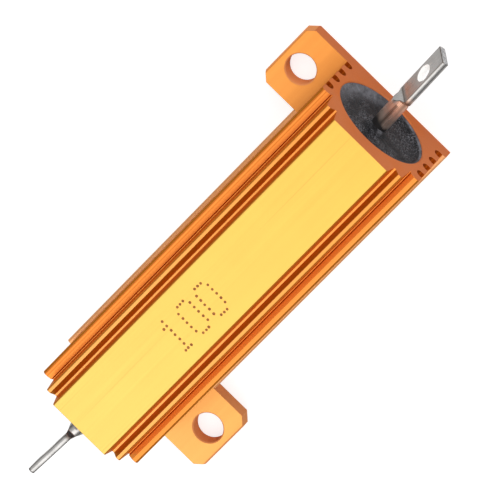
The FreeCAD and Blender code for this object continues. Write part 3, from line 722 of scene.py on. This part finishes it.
def tinned_copper(finishes):
    """Dipped tin: bright, a little uneven, finely scratched, with a painted bronze reflection at the neck
    and down the stem, painted shade in the press's corner, along the lug's edges and in dark streaks on the
    stem, and black filler clinging at the stem's foot that on one side is also a painted reflection.
    """
    material, tree, shader, place = start_material("tinned_copper")
    position = place.outputs["Object"]
    ripple = noise(tree, position, TIN_RIPPLES, 2.0)
    frost = noise(tree, position, TIN_FROST, 3.0, 0.6)
    scratches = noise(tree, position, TIN_SCRATCHES, 3.0, 0.65)
    dull = tuple(0.8 * part for part in finishes.tin)
    # Painted bronze reflection, read from the point attribute.
    thin = attribute(tree, "reflection_share")
    # Black of clinging filler; on the far side it is also a painted reflection of the filler.
    clinging = map_range(tree, attribute(tree, "smear_and_reflection"), 0.0, 0.7)
    colour = mix_colours(tree, map_range(tree, ripple, 0.35, 0.7), finishes.tin, dull)
    colour = mix_colours(tree, thin, colour, finishes.reflection_bronze)
    # Painted shade in the press's corner and along the lug's edges, and the stem's dark streaks, which are
    # painted reflections.
    colour = mix_colours(tree, product(tree, attribute(tree, "crease_shade"), 0.85), colour, CREASE_SHADE_BROWN)
    colour = mix_colours(tree, clinging, colour, SMEAR_AND_REFLECTION_BLACK)
    tree.links.new(colour, shader.inputs["Base Color"])
    tree.links.new(map_range(tree, scratches, *WIDE_MIDDLE, 0.24, 0.34), shader.inputs["Roughness"])
    bare = math_node(tree, "SUBTRACT", 1.0, clinging)
    metal = product(tree, map_range(tree, thin, 0.0, 1.0, 0.93, 0.62), bare)
    tree.links.new(metal, shader.inputs["Metallic"])
    set_bump(tree, shader, [
        (ripple, 0.05 * MILLIMETRE, 0.3),
        (scratches, 0.001 * MILLIMETRE, 0.3),
        (frost, 0.001 * MILLIMETRE, 0.3),
    ])
    return material


def cut_tin(name, light, dark, metallic, glow=0.0):
    """Tin where the lug was pierced or cut: grained, from light to dark, and glowing white by the given
    amount, which is painted light.
    """
    material, tree, shader, place = start_material(name)
    grain = noise(tree, place.outputs["Object"], CUT_GRAIN, 3.0, 0.7)
    colour = mix_colours(tree, map_range(tree, grain, 0.38, 0.62), light, dark)
    tree.links.new(colour, shader.inputs["Base Color"])
    tree.links.new(map_range(tree, grain, *MIDDLE, 0.35, 0.55), shader.inputs["Roughness"])
    shader.inputs["Metallic"].default_value = metallic
    # Any glow here is painted light.
    shader.inputs["Emission Color"].default_value = (1.0, 1.0, 1.0, 1.0)
    shader.inputs["Emission Strength"].default_value = glow
    set_bump(tree, shader, [(grain, 0.01 * MILLIMETRE, 0.3)])
    return material


def glowing_hole_tin():
    """Wall of a wire hole, painted near white and made to glow so that it reads as brightly lit."""
    return cut_tin("glowing_hole_tin", (0.98, 0.97, 0.95), (0.88, 0.86, 0.83), metallic=0.1, glow=0.3)


def sheared_tin():
    """Speckled cut at a lug's tip."""
    return cut_tin("sheared_tin", (0.85, 0.84, 0.83), (0.34, 0.34, 0.35), metallic=0.5)


def unglazed_ceramic():
    """Matt cream body of the core."""
    material, tree, shader, place = start_material("unglazed_ceramic")
    position = place.outputs["Object"]
    body = noise(tree, position, CERAMIC_CLOUDS, 4.0)
    colour = mix_colours(tree, body, (0.72, 0.69, 0.62), (0.84, 0.82, 0.76))
    tree.links.new(colour, shader.inputs["Base Color"])
    tree.links.new(map_range(tree, body, *MIDDLE, 0.6, 0.8), shader.inputs["Roughness"])
    set_bump(tree, shader, [(noise(tree, position, CERAMIC_GRAIN, 2.0), 0.01 * MILLIMETRE, 0.5)])
    return material


def drawn_metal(name, light, dark):
    """Drawn ribbon or sheet: lines along the drawing, and a faint heat tint."""
    material, tree, shader, place = start_material(name)
    position = place.outputs["Object"]
    lines = noise(tree, position, DRAWN_LINES, 3.0)
    tint = noise(tree, position, HEAT_TINTS, 2.0)
    tree.links.new(mix_colours(tree, tint, light, dark), shader.inputs["Base Color"])
    tree.links.new(map_range(tree, lines, *MIDDLE, 0.3, 0.48), shader.inputs["Roughness"])
    shader.inputs["Metallic"].default_value = 1.0
    set_bump(tree, shader, [(lines, 0.004 * MILLIMETRE, 0.5)])
    return material


def burnt_dots(finishes):
    """Brown of the dots, uneven from dot to dot and within each."""
    material, tree, shader, place = start_material("burnt_dots")
    patches = noise(tree, place.outputs["Object"], DOT_PATCHES, 3.0)
    faded = tuple(min(1.0, 1.7 * part) for part in finishes.mark)
    colour = mix_colours(tree, map_range(tree, patches, 0.35, 0.7), finishes.mark, faded)
    tree.links.new(colour, shader.inputs["Base Color"])
    tree.links.new(map_range(tree, patches, *MIDDLE, 0.5, 0.7), shader.inputs["Roughness"])
    shader.inputs["Specular IOR Level"].default_value = 0.2
    set_bump(tree, shader, [(patches, 0.003 * MILLIMETRE, 0.5)])
    return material


def dress_node(name, material):
    """Give a node of the frame its finish."""
    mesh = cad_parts[name].data
    mesh.materials.clear()
    mesh.materials.append(material)


def held(value, low=0.0, high=1.0):
    """A number kept between two others."""
    return min(max(value, low), high)


def circle_points(count):
    """Angles of points spread evenly round a circle."""
    return [2.0 * math.pi * number / count for number in range(count)]


def terminal_section(terminal, along):
    """Half width and half thickness of the terminal at a distance from its head."""
    pressed = held((along - terminal.press_start) / terminal.press_length)
    spread = held((along - terminal.press_start + terminal.spread_length) / (
        terminal.press_length + terminal.spread_length))
    spread = spread * spread * (3.0 - 2.0 * spread)
    half_width = terminal.stem_radius + (terminal.lug_width / 2 - terminal.stem_radius) * spread
    half_thickness = terminal.stem_radius + (terminal.lug_thickness / 2 - terminal.stem_radius) * pressed
    return half_width, half_thickness


def terminal_stations(terminal, length, tip_round):
    """Where the outline is drawn: distance from the head, and how much thinner the terminal is there."""
    press_end = terminal.press_start + terminal.press_length
    lug_end = length - tip_round - terminal.crease_width
    stem = [terminal.bend_start + (terminal.press_start - terminal.bend_start) * step / STEM_STEPS
            for step in range(STEM_STEPS)]
    press = [terminal.press_start + terminal.press_length * step / PRESS_STEPS
             for step in range(PRESS_STEPS + 1)]
    lug = [press_end + (lug_end - press_end) * step / LUG_STEPS for step in range(1, LUG_STEPS + 1)]
    stations = [(along, 0.0) for along in [terminal.head_thickness] + stem + press + lug]
    for step in range(TIP_STEPS + 1):
        angle = TIP_ANGLE * step / TIP_STEPS
        stations.append((length - tip_round + tip_round * math.sin(angle) / math.sin(TIP_ANGLE),
                         tip_round * (1.0 - math.cos(angle))))
    return stations


def terminal_blank(name, terminal, length, tip_round):
    """The terminal before its hole is made, straight, with its head at the origin and its lug level."""
    outline = circle_points(ROUND_POINTS)
    rings = []
    head = [(terminal.head_radius * math.cos(angle), terminal.head_radius * math.sin(angle))
            for angle in outline]
    for along in (0.0, terminal.head_thickness):
        rings.append([(along, across, up) for across, up in head])
    for along, thinned in terminal_stations(terminal, length, tip_round):
        half_width, half_thickness = terminal_section(terminal, along)
        ring = []
        for angle in outline:
            height = held(terminal.stem_radius * math.sin(angle), -half_thickness, half_thickness)
            ring.append((along, half_width * math.cos(angle) * (1.0 - thinned / half_width),
                         height * (1.0 - thinned / half_thickness)))
        rings.append(ring)
    points = [point for ring in rings for point in ring]
    faces = [tuple(reversed(range(ROUND_POINTS)))]
    for ring in range(len(rings) - 1):
        start = ring * ROUND_POINTS
        for number in range(ROUND_POINTS):
            following = (number + 1) % ROUND_POINTS
            faces.append((start + number, start + following,
                          start + ROUND_POINTS + following, start + ROUND_POINTS + number))
    faces.append(tuple(range(len(points) - ROUND_POINTS, len(points))))
    mesh = bpy.data.meshes.new(name)
    mesh.from_pydata(points, [], faces)
    return mesh


def punch_mesh(name, terminal, centre):
    """Round punch that goes right through a lug."""
    circle = [(centre + terminal.hole_radius * math.cos(angle), terminal.hole_radius * math.sin(angle))
              for angle in circle_points(HOLE_POINTS)]
    points = [(along, across, height) for height in (-terminal.lug_width, terminal.lug_width)
              for along, across in circle]
    faces = [tuple(reversed(range(HOLE_POINTS))), tuple(range(HOLE_POINTS, 2 * HOLE_POINTS))]
    for number in range(HOLE_POINTS):
        following = (number + 1) % HOLE_POINTS
        faces.append((number, following, HOLE_POINTS + following, HOLE_POINTS + number))
    mesh = bpy.data.meshes.new(name)
    mesh.from_pydata(points, [], faces)
    return mesh


def pierce_lug(name, blank, terminal, length):
    """Plain mesh of a blank with its wire hole."""
    body = bpy.data.objects.new(f"{name}_blank", blank)
    cutter_mesh = punch_mesh(f"{name}_punch", terminal, length - terminal.hole_inset)
    cutter = bpy.data.objects.new(f"{name}_punch", cutter_mesh)
    for item in (body, cutter):
        bpy.context.scene.collection.objects.link(item)
    punch = body.modifiers.new("punch", "BOOLEAN")
    punch.object = cutter
    punch.operation = "DIFFERENCE"
    punch.solver = "EXACT"
    bpy.context.view_layer.update()
    evaluated = body.evaluated_get(bpy.context.evaluated_depsgraph_get())
    mesh = bpy.data.meshes.new_from_object(evaluated)
    mesh.name = name
    for item in (body, cutter):
        bpy.data.objects.remove(item)
    return mesh


def mark_cuts(mesh, terminal, length):
    """Give the wall of the wire hole the mesh's second material, and the cut tip its third."""
    centre = length - terminal.hole_inset
    for face in mesh.polygons:
        from_centre = math.hypot(face.center.x - centre, face.center.y)
        if from_centre < 1.02 * terminal.hole_radius:
            face.material_index = 1
        if face.normal.x > 0.95 and face.center.x > length - 0.1 * terminal.lug_thickness:
            face.material_index = 2


def reflection_share_at(terminal, along, levelness):
    """How much painted bronze reflection a spot gets: most at the neck's round sides, less down the stem."""
    neck_end = terminal.press_start + terminal.press_length
    above = held((neck_end + terminal.stem_radius - along) / terminal.stem_radius)
    below = held((along - terminal.press_start + terminal.stem_radius) / terminal.stem_radius)
    if along > terminal.press_start - terminal.crease_width:
        above *= 1.0 - held((levelness - PLAIN_TIN_LEVEL) / PLAIN_TIN_SPAN)
    return above * (terminal.stem_reflection + (1.0 - terminal.stem_reflection) * below)


def crease_shade_at(terminal, length, tip_round, along, across, up):
    """How much painted shade the lug's edges, its tip's rim and the neck's inner corner get at a spot."""
    neck_end = terminal.press_start + terminal.press_length
    before = (along - neck_end) / terminal.crease_width + 1.0
    after = 1.0 - (along - neck_end) / (3.0 * terminal.crease_width)
    neck = max(0.0, min(1.0, before, after))
    half_width, half_thickness = terminal_section(terminal, along)
    share = min(half_thickness / terminal.stem_radius, 1.0)
    flat_half_width = half_width * math.sqrt(1.0 - share * share)
    from_edge = math.hypot(abs(across) - flat_half_width, abs(up) - half_thickness)
    edge = max(0.0, 1.0 - from_edge / terminal.crease_width) if along > terminal.press_start else 0.0
    tip = 1.0 if along > length - 1.01 * tip_round and abs(up) > 0.5 * half_thickness else 0.0
    return max(neck, edge, tip)


def streak_reflection_at(terminal, along, sideways, streaks):
    """How dark the streaks along the stem are at a spot; they are painted reflections of the dark filler."""
    if along > terminal.press_start:
        return 0.0
    return max(0.0, *(1.0 - abs(sideways - middle) / half_width for middle, half_width in streaks))


def mark_tin(mesh, terminal, length, head, outward, turning, tip_round, reflection_bronze):
    """Keep at each point its painted bronze reflection, its painted shade and painted dark streaks, and how
    much filler clings to it, the far side of that black being a painted reflection.
    """
    reflection_share = mesh.attributes.new("reflection_share", "FLOAT", "POINT")
    crease_shade = mesh.attributes.new("crease_shade", "FLOAT", "POINT")
    smear_and_reflection = mesh.attributes.new("smear_and_reflection", "FLOAT", "POINT")
    streaks = DARK_REFLECTIONS if outward < 0 else DARK_REFLECTIONS[:1]
    ragged = SMEAR_RAGGED * terminal.smear_height
    for vertex in mesh.vertices:
        along, across, up = vertex.co
        normal = turning @ vertex.normal
        sideways = Vector((0.0, normal.y * outward, normal.z)).dot(STREAK_SIDE)
        above_filler = outward * head + along - terminal.filler_foot
        above_filler -= ragged * value_noise.noise(vertex.co * SMEAR_WAVES)
        # On the far side the black reaches farther: a painted reflection of the filler.
        reach = terminal.smear_height * (1.0 + REFLECTION_FAR_SIDE * max(0.0, -sideways))
        smear_and_reflection.data[vertex.index].value = held(1.0 - above_filler / reach)
        reflection_share.data[vertex.index].value = reflection_bronze * reflection_share_at(terminal, along, abs(vertex.normal.z))
        crease_shade.data[vertex.index].value = max(
            crease_shade_at(terminal, length, tip_round, along, across, up),
            streak_reflection_at(terminal, along, sideways, streaks))


def build_terminal(node, name, terminal, outward, turn, lean, tip_round, reflection_bronze, finishes):
    """A terminal in place of its plain node: turned about its axis, its lug bent a little aside."""
    low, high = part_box(node)
    head = low.x if outward > 0 else high.x
    length = high.x - low.x
    blank = terminal_blank(f"{name}_blank", terminal, length, tip_round)
    for finish in finishes:
        blank.materials.append(finish)
    mesh = pierce_lug(name, blank, terminal, length)
    mark_cuts(mesh, terminal, length)
    turning = Matrix.Rotation(turn, 3, "X")
    mark_tin(mesh, terminal, length, head, outward, turning, tip_round, reflection_bronze)
    for vertex in mesh.vertices:
        along, across, up = vertex.co
        bent = max(0.0, (along - terminal.bend_start) / (length - terminal.bend_start))
        ripple = terminal.unevenness * value_noise.noise(vertex.co * PRESS_WAVES)
        spot = turning @ Vector((along, across, up * (1.0 + ripple / terminal.lug_thickness)))
        vertex.co = (head + outward * spot.x, spot.y * outward + lean * bent, spot.z + bore_axis)
    mesh.shade_smooth()
    mesh.set_sharp_from_angle(angle=SHARP_ANGLE)
    piece = bpy.data.objects.new(name, mesh)
    bpy.context.scene.collection.objects.link(piece)
    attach(piece, "root")
    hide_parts(node)


def dot_places(mark):
    """Where the dots of the number lie on the land, in the order they are marked."""
    places = []
    column_start = mark.start
    for digit in mark.digits:
        rows = DIGIT_ROWS[digit]
        for row_number, row in enumerate(rows):
            across = mark.middle + (len(rows) - 1 - 2 * row_number) / 2 * mark.row_pitch
            for column_number, filled in enumerate(row):
                if filled == "1":
                    places.append((column_start + column_number * mark.column_pitch, across, top_land))
        column_start += (len(rows[0]) - 1) * mark.column_pitch + mark.digit_gap
    return places


def dot_tree():
    """Geometry nodes that put one low round dot on each point, no two quite alike."""
    tree = bpy.data.node_groups.new("marking_dots", "GeometryNodeTree")
    sockets = {
        "Geometry": "NodeSocketGeometry",
        "Diameter": "NodeSocketFloat",
        "Height": "NodeSocketFloat",
        "Unevenness": "NodeSocketFloat",
        "Drift": "NodeSocketFloat",
        "Seed": "NodeSocketInt",
        "Material": "NodeSocketMaterial",
    }
    for name, kind in sockets.items():
        tree.interface.new_socket(name, in_out="INPUT", socket_type=kind)
    tree.interface.new_socket("Geometry", in_out="OUTPUT", socket_type="NodeSocketGeometry")
    given = tree.nodes.new("NodeGroupInput").outputs
    result = tree.nodes.new("NodeGroupOutput")

    # The dot: a flat round pip, half sunk in the land
    radius = product(tree, given["Diameter"], 0.5)
    depth = product(tree, given["Height"], 2.0)
    pip = add_node(tree, "GeometryNodeMeshCylinder", {
        "Vertices": DOT_POINTS, "Radius": radius, "Depth": depth}, fill_type="NGON")

    # Each dot drifts a little off its place and differs in size
    least = product(tree, given["Drift"], -1.0)
    low = add_node(tree, "ShaderNodeCombineXYZ", {"X": least, "Y": least})
    high = add_node(tree, "ShaderNodeCombineXYZ", {"X": given["Drift"], "Y": given["Drift"]})
    drift = add_node(tree, "FunctionNodeRandomValue", data_type="FLOAT_VECTOR")
    tree.links.new(low.outputs["Vector"], drift.inputs[0])
    tree.links.new(high.outputs["Vector"], drift.inputs[1])
    tree.links.new(given["Seed"], drift.inputs["Seed"])
    moved = add_node(tree, "GeometryNodeSetPosition", {
        "Geometry": given["Geometry"], "Offset": drift.outputs[0]})
    growth = add_node(tree, "FunctionNodeRandomValue", data_type="FLOAT")
    tree.links.new(math_node(tree, "SUBTRACT", 1.0, given["Unevenness"]), growth.inputs[2])
    tree.links.new(math_node(tree, "ADD", 1.0, given["Unevenness"]), growth.inputs[3])
    tree.links.new(math_node(tree, "ADD", given["Seed"], 1.0), growth.inputs["Seed"])
    spread = add_node(tree, "ShaderNodeCombineXYZ", {
        "X": growth.outputs[1], "Y": growth.outputs[1], "Z": 1.0})
    dots = add_node(tree, "GeometryNodeInstanceOnPoints", {
        "Points": moved.outputs["Geometry"], "Instance": pip.outputs["Mesh"],
        "Scale": spread.outputs["Vector"]})
    real = add_node(tree, "GeometryNodeRealizeInstances", {"Geometry": dots.outputs["Instances"]})
    painted = add_node(tree, "GeometryNodeSetMaterial", {
        "Geometry": real.outputs["Geometry"], "Material": given["Material"]})
    tree.links.new(painted.outputs["Geometry"], result.inputs["Geometry"])
    return tree


def run_tree(name, seed_mesh, tree, values):
    """Plain mesh that a geometry node tree makes from a starting mesh."""
    source = bpy.data.objects.new(f"{name}_source", seed_mesh)
    bpy.context.scene.collection.objects.link(source)
    modifier = source.modifiers.new(tree.name, "NODES")
    modifier.node_group = tree
    identifiers = {item.name: item.identifier for item in tree.interface.items_tree
                   if item.item_type == "SOCKET" and item.in_out == "INPUT"}
    for key, value in values.items():
        modifier[identifiers[key]] = value
    bpy.context.view_layer.update()
    evaluated = source.evaluated_get(bpy.context.evaluated_depsgraph_get())
    mesh = bpy.data.meshes.new_from_object(evaluated)
    mesh.name = name
    bpy.data.objects.remove(source)
    piece = bpy.data.objects.new(name, mesh)
    bpy.context.scene.collection.objects.link(piece)
    return piece


class RESISTOR_OT_finish_housing(bpy.types.Operator):
    """Give the extruded housing its anodised finish"""

    bl_idname = "resistor.finish_housing"
    bl_label = "Finish Housing"

    def execute(self, context):
        dress_node("housing", anodised_aluminium(context.scene.resistor_finishes))
        return {"FINISHED"}


class RESISTOR_OT_finish_filler(bpy.types.Operator):
    """Give the potting compound its rough finish"""

    bl_idname = "resistor.finish_filler"
    bl_label = "Finish Filler"

    def execute(self, context):
        dress_node("potting_compound", filler_compound(context.scene.resistor_finishes))
        return {"FINISHED"}


class RESISTOR_OT_build_terminals(bpy.types.Operator):
    """Build both tinned terminals with their pressed and pierced lugs"""

    bl_idname = "resistor.build_terminals"
    bl_label = "Build Terminals"

    def execute(self, context):
        tin = tinned_copper(context.scene.resistor_finishes)
        terminal = context.scene.resistor_terminal
        finishes = (tin, glowing_hole_tin(), sheared_tin())
        build_terminal("terminal_front", "tinned_lug_front", terminal, 1, terminal.front_turn,
                       terminal.front_lean, terminal.front_tip, terminal.front_reflection, finishes)
        build_terminal("terminal_rear", "tinned_lug_rear", terminal, -1, terminal.rear_turn,
                       terminal.rear_lean, terminal.rear_tip, terminal.rear_reflection, finishes)
        return {"FINISHED"}


class RESISTOR_OT_finish_element(bpy.types.Operator):
    """Give the sealed element its ceramic, ribbon and cap finishes"""

    bl_idname = "resistor.finish_element"
    bl_label = "Finish Element"

    def execute(self, context):
        dress_node("ceramic_core", unglazed_ceramic())
        ribbon = drawn_metal("resistance_alloy", (0.5, 0.46, 0.42), (0.36, 0.3, 0.26))
        dress_node("resistance_winding", ribbon)
        cap = drawn_metal("cap_steel", (0.62, 0.62, 0.61), (0.48, 0.48, 0.48))
        for name in ("end_cap_front", "end_cap_rear"):
            dress_node(name, cap)
        return {"FINISHED"}


class RESISTOR_OT_add_mark(bpy.types.Operator):
    """Write the dotted number on the top land"""

    bl_idname = "resistor.add_mark"
    bl_label = "Add Mark"

    def execute(self, context):
        mark = context.scene.resistor_mark
        points = bpy.data.meshes.new("dot_places")
        points.from_pydata(dot_places(mark), [], [])
        dots = run_tree("marking_dots", points, dot_tree(), {
            "Diameter": mark.dot_diameter,
            "Height": mark.dot_height,
            "Unevenness": mark.unevenness,
            "Drift": DOT_DRIFT * mark.dot_diameter,
            "Seed": mark.seed,
            "Material": burnt_dots(context.scene.resistor_finishes),
        })
        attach(dots, "root")
        return {"FINISHED"}


def add_floor(studio):
    """Pale floor that looks white to the camera and still takes the part's shadow."""
    half = studio.floor_size / 2
    mesh = bpy.data.meshes.new("studio_floor")
    mesh.from_pydata([(-half, -half, 0), (half, -half, 0), (half, half, 0), (-half, half, 0)], [],
                     [(0, 1, 2, 3)])
    floor = bpy.data.objects.new("studio_floor", mesh)
    bpy.context.scene.collection.objects.link(floor)

    material = bpy.data.materials.new("pale_paper")
    material.use_nodes = True
    tree = material.node_tree
    tree.nodes.clear()
    place = add_node(tree, "ShaderNodeTexCoord")
    fibres = noise(tree, place.outputs["Object"], PAPER_FIBRES, 3.0)
    paper = add_node(tree, "ShaderNodeBsdfDiffuse", {
        "Color": mix_colours(tree, fibres, (0.5, 0.5, 0.5), (0.54, 0.54, 0.54))})
    ray = add_node(tree, "ShaderNodeLightPath")
    seen = product(tree, ray.outputs["Is Camera Ray"], studio.floor_glow)
    reflected = product(tree, ray.outputs["Is Glossy Ray"], studio.floor_gloss)
    glow = add_node(tree, "ShaderNodeEmission", {"Strength": math_node(tree, "ADD", seen, reflected)})
    both = add_node(tree, "ShaderNodeAddShader")
    tree.links.new(paper.outputs["BSDF"], both.inputs[0])
    tree.links.new(glow.outputs["Emission"], both.inputs[1])
    output = add_node(tree, "ShaderNodeOutputMaterial")
    tree.links.new(both.outputs["Shader"], output.inputs["Surface"])
    mesh.materials.append(material)


def add_surround(studio):
    """Soft light from all round: full from above, weaker towards the horizon."""
    world = bpy.data.worlds.new("studio_surround")
    bpy.context.scene.world = world
    world.use_nodes = True
    tree = world.node_tree
    way = add_node(tree, "ShaderNodeTexCoord")
    height = add_node(tree, "ShaderNodeSeparateXYZ", {"Vector": way.outputs["Generated"]}).outputs["Z"]
    above = studio.surround
    soft = map_range(tree, height, -0.1, 0.75, studio.horizon * above, above, smooth=True)
    deep = map_range(tree, height, 0.25, 0.85, studio.dark_horizon * above, above, smooth=True)
    ray = add_node(tree, "ShaderNodeLightPath")
    background = tree.nodes["Background"]
    background.inputs["Color"].default_value = (1.0, 1.0, 1.0, 1.0)
    tree.links.new(blend(tree, ray.outputs["Is Glossy Ray"], soft, deep), background.inputs["Strength"])


def add_softbox(name, place, size, power):
    """Square lamp that faces the part."""
    light = bpy.data.lights.new(name, "AREA")
    light.shape = "SQUARE"
    light.size = size
    light.energy = power
    lamp = bpy.data.objects.new(name, light)
    lamp.location = place
    lamp.rotation_euler = Vector(place).to_track_quat("Z", "Y").to_euler()
    bpy.context.scene.collection.objects.link(lamp)


def add_camera(studio):
    """Camera that looks at the part as the photograph does."""
    azimuth, elevation, roll = studio.azimuth, studio.elevation, studio.roll
    back = Vector((math.cos(azimuth) * math.cos(elevation),
                   math.sin(azimuth) * math.cos(elevation),
                   math.sin(elevation)))
    level_up = Vector((-math.cos(azimuth) * math.sin(elevation),
                       -math.sin(azimuth) * math.sin(elevation),
                       math.cos(elevation)))
    level_right = level_up.cross(back)
    right = math.cos(roll) * level_right + math.sin(roll) * level_up
    up = -math.sin(roll) * level_right + math.cos(roll) * level_up
    data = bpy.data.cameras.new("studio_camera")
    data.sensor_fit = "HORIZONTAL"
    data.lens = data.sensor_width * studio.distance / studio.picture_width
    data.clip_end = 10.0
    camera = bpy.data.objects.new("studio_camera", data)
    place = studio.aim_right * right + studio.aim_up * up + studio.distance * back
    turn = Matrix((right, up, back)).transposed().to_4x4()
    camera.matrix_world = Matrix.Translation(place) @ turn
    bpy.context.scene.collection.objects.link(camera)
    bpy.context.scene.camera = camera


class RESISTOR_OT_set_stage(bpy.types.Operator):
    """Put up the floor, the lamps and the camera"""

    bl_idname = "resistor.set_stage"
    bl_label = "Set Stage"

    def execute(self, context):
        studio = context.scene.resistor_studio
        add_floor(studio)
        add_surround(studio)
        add_softbox("key_lamp", *KEY_LAMP, studio.key_power)
        add_softbox("fill_lamp", *FILL_LAMP, studio.fill_power)
        add_camera(studio)
        context.scene.view_settings.view_transform = "Standard"
        return {"FINISHED"}


class RESISTOR_PT_sidebar(bpy.types.Panel):
    """The resistor's pieces and settings"""

    bl_idname = "RESISTOR_PT_sidebar"
    bl_label = "Resistor"
    bl_space_type = "VIEW_3D"
    bl_region_type = "UI"
    bl_category = "Resistor"

    def draw(self, context):
        for operator in OPERATORS:
            self.layout.operator(operator.bl_idname)
        for _, settings in SETTINGS:
            group = getattr(context.scene, settings)
            box = self.layout.box()
            for name in group.__annotations__:
                box.prop(group, name)


OPERATORS = [
    RESISTOR_OT_finish_housing,
    RESISTOR_OT_finish_filler,
    RESISTOR_OT_build_terminals,
    RESISTOR_OT_finish_element,
    RESISTOR_OT_add_mark,
    RESISTOR_OT_set_stage,
]
SETTINGS = [
    (ResistorFinishes, "resistor_finishes"),
    (ResistorTerminal, "resistor_terminal"),
    (ResistorMark, "resistor_mark"),
    (ResistorStudio, "resistor_studio"),
]


def register():
    """Make the settings, the operators and the panel known."""
    for group, name in SETTINGS:
        bpy.utils.register_class(group)
        setattr(bpy.types.Scene, name, PointerProperty(type=group))
    for item in OPERATORS + [RESISTOR_PT_sidebar]:
        bpy.utils.register_class(item)


def unregister():
    """Take them away again, the last one first."""
    for item in reversed(OPERATORS + [RESISTOR_PT_sidebar]):
        bpy.utils.unregister_class(item)
    for group, name in reversed(SETTINGS):
        delattr(bpy.types.Scene, name)
        bpy.utils.unregister_class(group)


def main():
    """Build the resistor and its stage."""
    register()
    bpy.ops.resistor.finish_housing()
    bpy.ops.resistor.finish_filler()
    bpy.ops.resistor.build_terminals()
    bpy.ops.resistor.finish_element()
    bpy.ops.resistor.add_mark()
    bpy.ops.resistor.set_stage()


if __name__ == "__main__":
    main()
